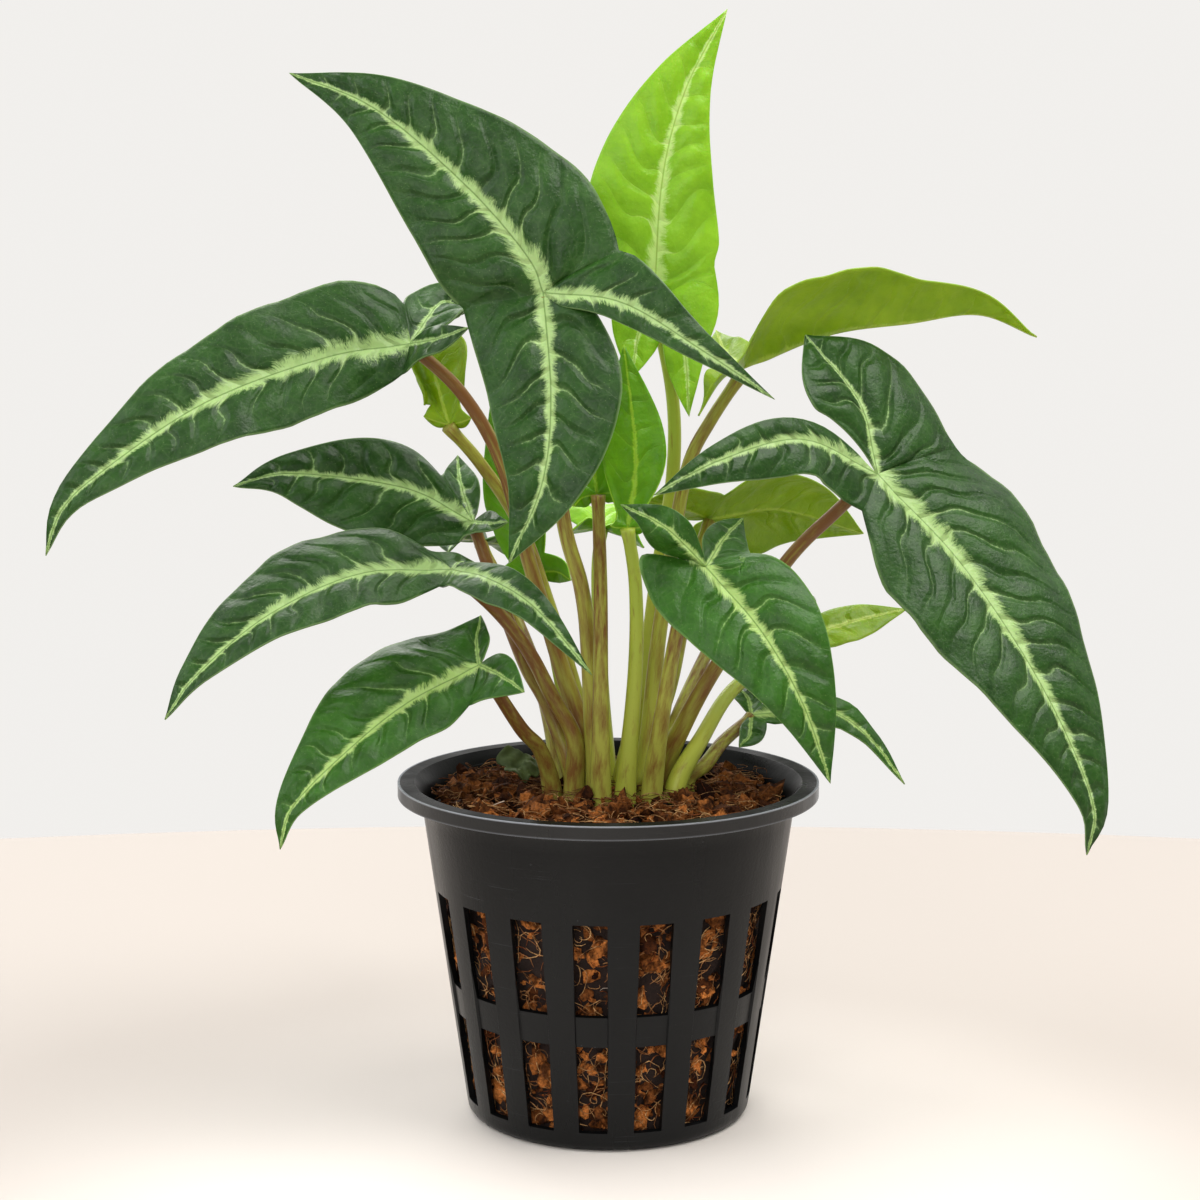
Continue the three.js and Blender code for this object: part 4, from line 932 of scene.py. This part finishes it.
# %% [markdown]
# A leaf stalk is a slim round petiole. At its foot it widens into a pale sheath with a groove that once
# wrapped the next leaf, and at its top it flares a little into the blade. A Bezier curve with a bevel would
# give a plain round tube, so a sheet is rolled round the stalk's line instead, and its radius and groove
# follow the height. Its own UV map carries how far up the stalk a place is.

# %% Leaf stalks
MEDIUM_TOP = 86.0
STALK_SINK = 9.0
STALK_FOOT_RADIUS = 2.9
STALK_TOP_RADIUS = 1.6
STALK_ROWS = 56
STALK_COLUMNS = 18
SHEATH_PART = 0.42
TOP_REACH = 1.1


def stalk_radius(part, turn):
    radius = STALK_FOOT_RADIUS + (STALK_TOP_RADIUS - STALK_FOOT_RADIUS) * math.sqrt(part)
    groove = math.exp(-((turn - math.pi / 2) / 0.5) ** 2)
    groove *= 1 - smoothstep(part, 0.5 * SHEATH_PART, 1.2 * SHEATH_PART)
    lips = math.exp(-((abs(turn - math.pi / 2) - 0.75) / 0.3) ** 2) * (1 - smoothstep(part, 0.3, 0.5))
    flare = 0.35 * smoothstep(part, 0.95, 1.0)
    sheath = 0.45 * (1 - smoothstep(part, 0.1, SHEATH_PART))
    return radius + sheath - 0.75 * groove + 0.3 * lips + flare


def stalk_bmesh(leaf):
    foot, *route = leaf["stalk"]
    hub = np.array(leaf["hub"], float)
    face = np.array(leaf["face"]) / np.linalg.norm(leaf["face"])
    top = tuple(hub - face * TOP_REACH)
    line = Rib([(*foot, MEDIUM_TOP - STALK_SINK), (*foot, MEDIUM_TOP + 3), *route, top])
    along = np.linspace(0, line.length, STALK_ROWS + 1)
    points, tangents = line.at(along)
    sides = []
    side = np.array([1.0, 0.0, 0.0])
    for tangent in tangents:
        side = side - tangent * side.dot(tangent)
        side = side / np.linalg.norm(side)
        sides.append(side)
    sides = np.array(sides)
    fronts = np.cross(tangents, sides)
    bm = bmesh.new()
    bm.loops.layers.uv.new("Height")

    def place(row, column):
        turn = turn_at(column, STALK_COLUMNS)
        radius = stalk_radius(row / STALK_ROWS, turn)
        offset = sides[row] * math.cos(turn) + fronts[row] * math.sin(turn)
        return Vector(points[row] + offset * radius) * MM

    corners = rolled_grid(bm, STALK_ROWS, STALK_COLUMNS, place)
    layer = bm.loops.layers.uv["Height"]
    for face in bm.faces:
        for loop in face.loops:
            row, column = corners[loop.vert]
            loop[layer].uv = (row / STALK_ROWS, column / STALK_COLUMNS)
    close_up(bm)
    return bm

# %% [markdown]
# The stalks' skin is smooth and a little waxy. Young stalks are yellow-green all along, and older ones are
# streaked with reddish brown, more so towards the top. The streaks run along the stalk, so their noise is
# read round a circle and drawn out along the height, which leaves no seam.

# %% Stalk skin
STREAK_COUNT = 1.3
STREAK_LENGTHS = 7.0
PATCH_MM = 14.0


def stalk_skin(name, greens, reds, red_part):
    """Greens and reds are each the tone at the foot and at the top, and red_part is how much is red."""
    material, tree, shader, coords = new_material(name)
    height, around, _ = add(tree, "SeparateXYZ", {0: add(tree, "UVMap", uv_map="Height")}).outputs
    wander = cloud(tree, coords, PATCH_MM, 3.0)
    rise = maths(tree, "MULTIPLY_ADD", wander, 0.8, height)
    part = remap(tree, rise, 0.35, 1.2)
    green = mix(tree, part, greens[0], greens[1])
    red = mix(tree, part, reds[0], reds[1])
    turn = maths(tree, "MULTIPLY", around, 2 * math.pi)
    ring = {0: maths(tree, "COSINE", turn), 1: maths(tree, "SINE", turn),
            2: maths(tree, "MULTIPLY", height, STREAK_LENGTHS)}
    place = add(tree, "CombineXYZ", ring)
    streak = add(tree, "TexNoise", {"Vector": place, "Scale": STREAK_COUNT, "Detail": 5.0,
                                    "Roughness": 0.65})
    raised = maths(tree, "MULTIPLY_ADD", part, 0.4 * red_part, streak)
    reddish = remap(tree, raised, 0.6 - 0.25 * red_part, 0.86 - 0.25 * red_part)
    colour = mix(tree, reddish, green, red)
    bump = add(tree, "Bump", {"Height": streak, "Strength": 0.3, "Distance": 0.0004})
    feed(tree, shader, {"Base Color": colour, "Normal": bump, "Roughness": 0.38, "Specular IOR Level": 0.3,
                        "Subsurface Weight": 0.06, "Subsurface Radius": (0.8, 1.0, 0.2),
                        "Subsurface Scale": 0.0015})
    return material


STALK_REDS = ("#8e6632", "#764e28")
STALK_SKINS = {
    "lime": stalk_skin("young_stalk_skin", ("#bcc04e", "#a4b640"), STALK_REDS, 0.1),
    "olive": stalk_skin("olive_stalk_skin", ("#b4b84a", "#9ea43e"), STALK_REDS, 0.3),
    "green": stalk_skin("green_stalk_skin", ("#bcbc52", "#a4a844"), STALK_REDS, 0.4),
    "brown": stalk_skin("brown_stalk_skin", ("#b0ac4a", "#989440"), STALK_REDS, 0.55),
}
STALK_SKIN_OF = dict.fromkeys("bdefg", "brown") | dict.fromkeys("hjlor", "lime")
STALK_SKIN_OF |= dict.fromkeys("ikn", "olive") | dict.fromkeys("acmqst", "green")
for letter, leaf in LEAVES.items():
    node = f"leaf_{letter}_stalk"
    finish_piece(stalk_bmesh(leaf), node + "_fine", [STALK_SKINS[STALK_SKIN_OF[letter]]], [node])
print("stalks:", len(LEAVES))

# %% [markdown]
# The pot is filled with coarse medium: bark chips, shreds of coconut husk and curly coir fibres, dry and
# reddish brown on top. A lumpy core stands for the imported middle, near black with painted shade of the
# pot's inside, which shows in the gaps between the chips. Chips are rough, flattened flakes, scattered on
# the core's top and against the wall where the slots show them, and every chip has fewer than a hundred
# faces.

# %% Growing medium: core
CORE_GAP = 1.0
CORE_FOOT = 2.4
CORE_TOP = MEDIUM_TOP - 2.0
CORE_ROWS = 30
CORE_COLUMNS = 96
TOP_ROWS = 12
MEDIUM_MOUND = 2.0
MOUND_RADIUS = 50.0
# How fine the noise of each kind of lump is, per millimetre, and how deep it goes in millimetres
LUMPS = ((0.16, 5.0), (0.5, 1.2))


def mound(radius):
    return MEDIUM_MOUND * (1 - (radius / MOUND_RADIUS) ** 2)


def core_place(row, column):
    turn = turn_at(column, CORE_COLUMNS)
    wall_rows = CORE_ROWS - TOP_ROWS
    if row <= wall_rows:
        z = CORE_FOOT + (CORE_TOP - CORE_FOOT) * row / wall_rows
        radius = wall_radius(z) - WALL - CORE_GAP
    else:
        radius = (wall_radius(CORE_TOP) - WALL - CORE_GAP) * (1 - (row - wall_rows) / TOP_ROWS)
        z = CORE_TOP + mound(radius)
    spot = on_circle(radius, turn, z)
    if 0 < row < CORE_ROWS:
        lump = sum(abs(noise.noise(spot * fine)) * deep for fine, deep in LUMPS)
        away = on_circle(1.0, turn) if row <= wall_rows else Vector((0, 0, 1))
        spot -= away * lump
    return spot * MM


core_bm = bmesh.new()
rolled_grid(core_bm, CORE_ROWS, CORE_COLUMNS, core_place)
close_up(core_bm)
print("core faces:", len(core_bm.faces))

# %% Growing medium: chips
TOP_CHIPS = 620
WALL_CHIPS = 950
BATCH = 40
CHIP_REACH = 46.5
CHIP_LIMIT = 47.5
STALK_ROOM = 2.4
BEHIND_SLOT = 7
SHOWN_HEIGHTS = (4.0, 64.0)
TOP_CHIP_SIZES = (1.0, 1.3, 1.8, 2.4, 3.2, 4.2)
WALL_CHIP_SIZES = (1.0, 1.4, 1.9, 2.6, 3.6)
STALK_FEET = [leaf["stalk"][0] for leaf in LEAVES.values()]


def add_many(whole, count, add_one):
    """Small shapes are made a few at a time, because a large mesh is slow to add to."""
    for first in range(0, count, BATCH):
        batch = bmesh.new()
        layer = batch.loops.layers.uv.new("Tone")
        for _ in range(min(BATCH, count - first)):
            verts = add_one(batch)
            tone = (random.random(), random.random())
            for loop in [loop for vert in verts for loop in vert.link_loops]:
                loop[layer].uv = tone
        close_up(batch, 1e-7)
        mesh = bpy.data.meshes.new("batch")
        batch.to_mesh(mesh)
        batch.free()
        whole.from_mesh(mesh)
        bpy.data.meshes.remove(mesh)


def add_chip(bm, centre, size, turn):
    """A rough flake: a small ball squashed in two directions, with its corners pushed about."""
    made = bmesh.ops.create_icosphere(bm, subdivisions=2, radius=1.0)
    flat = Vector((size, size * random.uniform(0.5, 0.85), size * random.uniform(0.35, 0.6)))
    seed = Vector((random.random(), random.random(), random.random())) * 50
    for vert in made["verts"]:
        rough = 1 + 0.75 * noise.noise(vert.co * 1.6 + seed) + 0.5 * noise.noise(vert.co * 4.0 + seed)
        shape = Vector([value * stretch for value, stretch in zip(vert.co * rough, flat)])
        vert.co = (turn @ shape + centre) * MM
    return made["verts"]


def free_of_stalks(x, y, room):
    return all(math.hypot(x - foot[0], y - foot[1]) > STALK_ROOM + room * 0.5 for foot in STALK_FEET)


def top_chip(bm):
    size = random.choice(TOP_CHIP_SIZES)
    x, y = 2 * CHIP_LIMIT, 0.0
    while math.hypot(x, y) + size > CHIP_LIMIT or not free_of_stalks(x, y, size):
        radius = CHIP_REACH * math.sqrt(random.random())
        turn = random.uniform(0, 2 * math.pi)
        x, y = radius * math.cos(turn), radius * math.sin(turn)
    z = MEDIUM_TOP - 2.6 + mound(radius) + random.uniform(0.0, 2.6)
    lean = Euler((random.gauss(0, 0.8), random.gauss(0, 0.8), random.uniform(0, 6.28))).to_matrix()
    return add_chip(bm, Vector((x, y, z)), size, lean)


def wall_chip(bm):
    z = random.uniform(*SHOWN_HEIGHTS)
    turn = SLOT_START + 360 / SLOTS * random.randrange(SLOTS) + random.uniform(-BEHIND_SLOT, BEHIND_SLOT)
    turn = math.radians(turn)
    size = random.choice(WALL_CHIP_SIZES)
    radius = wall_radius(z) - WALL - 0.4 - size * 0.5 - random.uniform(0, 2.4)
    centre = Vector((radius * math.sin(turn), -radius * math.cos(turn), z))
    outward = Matrix.Rotation(turn, 3, "Z") @ Matrix.Rotation(math.radians(90), 3, "X")
    lean = Euler((random.gauss(0, 0.3), random.gauss(0, 0.3), random.uniform(0, 6.28))).to_matrix()
    return add_chip(bm, centre, size, outward @ lean)


chips_bm = bmesh.new()
add_many(chips_bm, TOP_CHIPS, top_chip)
add_many(chips_bm, WALL_CHIPS, wall_chip)
print("chips:", TOP_CHIPS + WALL_CHIPS, "faces", len(chips_bm.faces))

# %% [markdown]
# Coir fibres are stiff curly hairs, a quarter of a millimetre thick. Each one is a three-sided tube of a few
# steps, and there are many of them, so they are made as short rolled sheets. On top they lie in all
# directions and some curl up over the chips; behind the slots they lie along the wall.

# %% Growing medium: fibres
TOP_FIBRES = 900
WALL_FIBRES = 1450
FIBRE_REACH = 46
FIBRE_LIMIT = 47.0
START_RADIUS = 40
FIBRE_STEPS = 8
FIBRE_SIDES = 3
FIBRE_HEIGHTS = (2.6, 66.0)


def add_fibre(bm, start, heading, up, length, bow, keep_in):
    """A curly hair from start: each step turns a little in the plane, and rises and falls along up."""
    points = [start]
    radius = random.uniform(0.1, 0.18)
    curl = random.choice((-1, 1)) * random.uniform(0.02, 0.55)
    for step in range(FIBRE_STEPS):
        heading = Matrix.Rotation(curl + random.gauss(0, 0.3), 3, up) @ heading
        points.append(keep_in(points[-1] + heading * (length / FIBRE_STEPS)))
    lifted = [point + up * bow * math.sin(math.pi * step / FIBRE_STEPS) for step, point in enumerate(points)]

    def place(row, column):
        before, after = lifted[max(row - 1, 0)], lifted[min(row + 1, FIBRE_STEPS)]
        across = (after - before).cross(up)
        across = across.normalized() if across.length > 1e-6 else Vector((1, 0, 0))
        turn = turn_at(column, FIBRE_SIDES)
        thin = radius * (1 - 0.6 * abs(2 * row / FIBRE_STEPS - 1) ** 3)
        return (lifted[row] + (across * math.cos(turn) + up * math.sin(turn)) * thin) * MM

    return list(rolled_grid(bm, FIBRE_STEPS, FIBRE_SIDES, place))


def on_top(point):
    radius = math.hypot(point.x, point.y)
    scale = min(1.0, FIBRE_LIMIT / radius) if radius else 1.0
    return Vector((point.x * scale, point.y * scale, point.z))


def on_wall(point):
    z = min(max(point.z, FIBRE_HEIGHTS[0]), FIBRE_HEIGHTS[1])
    radius = wall_radius(z) - WALL - 0.75
    turn = math.atan2(point.y, point.x)
    return on_circle(radius, turn, z)


def top_fibre(bm):
    radius = FIBRE_REACH * math.sqrt(random.random())
    turn = random.uniform(0, 2 * math.pi)
    z = MEDIUM_TOP - 1.0 + mound(radius) + random.uniform(0.3, 2.4)
    start = on_circle(radius, turn, z)
    way = random.uniform(0, 2 * math.pi)
    heading = on_circle(1.0, way)
    length = random.uniform(4, 11)
    return add_fibre(bm, start, heading, Vector((0, 0, 1)), length, random.uniform(0, 0.2) * length, on_top)


def wall_fibre(bm):
    turn = SLOT_START - 90 + 360 / SLOTS * random.randrange(SLOTS)
    turn = math.radians(turn + random.uniform(-BEHIND_SLOT, BEHIND_SLOT))
    up = on_circle(1.0, turn)
    start = on_wall(up * START_RADIUS + Vector((0, 0, random.uniform(*SHOWN_HEIGHTS))))
    heading = Matrix.Rotation(random.uniform(0, 2 * math.pi), 3, up) @ Vector((0, 0, 1))
    length = random.uniform(4, 14)
    return add_fibre(bm, start, heading, up, length, random.uniform(-0.12, 0) * length, on_wall)


fibres_bm = bmesh.new()
add_many(fibres_bm, TOP_FIBRES, top_fibre)
add_many(fibres_bm, WALL_FIBRES, wall_fibre)
print("fibres:", TOP_FIBRES + WALL_FIBRES, "faces", len(fibres_bm.faces))

# %% [markdown]
# Bark and husk are matte and fibrous. Each chip and fibre carries its own tone in a UV map, so neighbours
# differ, and fine noise drawn out along one axis gives each the look of torn wood, whose dark streaks are
# partly painted shade in its crevices. Blotches of the darkest tone are painted shade of the gaps between
# chips. Painted shade darkens the medium's top towards the middle and back of the pot, between the stalks,
# and leaves it lighter towards the front.

# %% Bark, husk and coir
GRAIN_MM = 0.7
CLOD_MM = 3.5
LUMP_MM = 3.0


def husk(name, tones, darkest):
    material, tree, shader, coords = new_material(name)
    own = add(tree, "SeparateXYZ", {0: add(tree, "UVMap", uv_map="Tone")}).outputs
    ramp = add(tree, "ValToRGB", {"Fac": own[0]})
    ramp.color_ramp.interpolation = "LINEAR"
    for index, tone in enumerate(tones):
        stops = ramp.color_ramp.elements
        place = index / (len(tones) - 1)
        stop = stops[0] if index == 0 else stops[1] if index == len(tones) - 1 else stops.new(place)
        stop.position, stop.color = place, linear(tone)
    drawn = add(tree, "Mapping", {"Vector": coords, "Rotation": (0.6, 0.4, 0.9), "Scale": (1.0, 0.25, 1.0)})
    grain = cloud(tree, drawn, GRAIN_MM, 4.0, 0.65)
    # The grain's dark streaks are partly the wood's own grain and partly painted shade in its crevices.
    shade = remap(tree, grain, 0.35, 0.6, 0.7, 0.0)
    colour = mix(tree, shade, ramp, darkest)
    # Blotches of the darkest tone are painted shade of the gaps between chips.
    clod = cloud(tree, coords, CLOD_MM, 2.0)
    painted_gap_shade = remap(tree, clod, 0.36, 0.5, 0.85, 0.0)
    colour = mix(tree, painted_gap_shade, colour, darkest)
    _, y, z = add(tree, "SeparateXYZ", {0: coords}).outputs
    # Painted shade: the top of the medium gets darker towards the middle and back of the pot.
    inward = remap(tree, y, -0.032, -0.008)
    on_top = remap(tree, z, 0.07, 0.075, 0.0, 0.6)
    painted_centre_shade = maths(tree, "MULTIPLY", inward, on_top)
    colour = mix(tree, painted_centre_shade, colour, darkest)
    bump = add(tree, "Bump", {"Height": grain, "Strength": 0.7, "Distance": 0.0004})
    feed(tree, shader, {"Base Color": colour, "Roughness": 0.85, "Specular IOR Level": 0.12, "Normal": bump})
    return material


bark = husk("torn_bark_and_husk", ("#280a03", "#6e2206", "#a63e0c", "#cc601a", "#de8844"), "#150502")
coir = husk("coir_fibre", ("#803810", "#b86422", "#da8e42", "#eebc80"), "#3c1a08")
# The core's near-black colour is painted shade of the pot's inside, seen between the chips.
core_material, tree, shader, coords = new_material("medium_core_painted_shade")
lumps = cloud(tree, coords, LUMP_MM, 6.0, 0.7)
dark = mix(tree, lumps, "#0a0503", "#2a140b")
bump = add(tree, "Bump", {"Height": lumps, "Strength": 1.0, "Distance": 0.001})
feed(tree, shader, {"Base Color": dark, "Roughness": 0.95, "Normal": bump})

finish_piece(core_bm, "medium_core", [core_material], ["growing_medium"])
finish_piece(chips_bm, "medium_chips", [bark], ["growing_medium"], smooth=False)
finish_piece(fibres_bm, "medium_fibres", [coir], ["growing_medium"])

# %% [markdown]
# A crumpled bit of dry leaf lies on the medium, left of the stalks. It is a small sheet folded by noise
# and thickened, as a dried leaf curls at its rim.

# %% Leaf scrap
SCRAP_PLACE = Vector((-23.0, 6.0, 92.8))
SCRAP_TURN = Euler((0.55, 0.1, 0.0)).to_matrix()
SCRAP_RADIUS = 6.4
SCRAP_THICKNESS = 0.35
SCRAP_ROWS = 12
SCRAP_COLUMNS = 48
BLOTCH_MM = 2.5


def scrap_place(row, column):
    reach = SCRAP_RADIUS * row / SCRAP_ROWS
    turn = turn_at(column, SCRAP_COLUMNS)
    reach *= 1 + 0.22 * math.sin(3 * turn + 0.4) + 0.09 * math.sin(7 * turn)
    spot = Vector((reach * math.cos(turn), 0.8 * reach * math.sin(turn), 0))
    spot.z = 1.8 * noise.noise(spot * 0.35) + 0.5 * noise.noise(spot * 1.1)
    spot.z += 0.035 * reach ** 2 * math.sin(3 * turn + 1.2)
    return (SCRAP_TURN @ spot + SCRAP_PLACE) * MM


scrap_bm = bmesh.new()
rolled_grid(scrap_bm, SCRAP_ROWS, SCRAP_COLUMNS, scrap_place)
bmesh.ops.remove_doubles(scrap_bm, verts=scrap_bm.verts, dist=1e-6)
bmesh.ops.recalc_face_normals(scrap_bm, faces=scrap_bm.faces)
scrap_material, tree, shader, coords = new_material("dried_leaf_skin")
blotch = cloud(tree, coords, BLOTCH_MM, 5.0)
tone = mix(tree, blotch, "#1e2a0c", "#5c6e38")
feed(tree, shader, {"Base Color": tone, "Roughness": 0.7})
scrap = finish_piece(scrap_bm, "leaf_scrap_fine", [scrap_material], ["leaf_scrap"])
thicken(scrap, "dried_blade", SCRAP_THICKNESS)
print("scrap faces:", len(scrap.data.polygons))
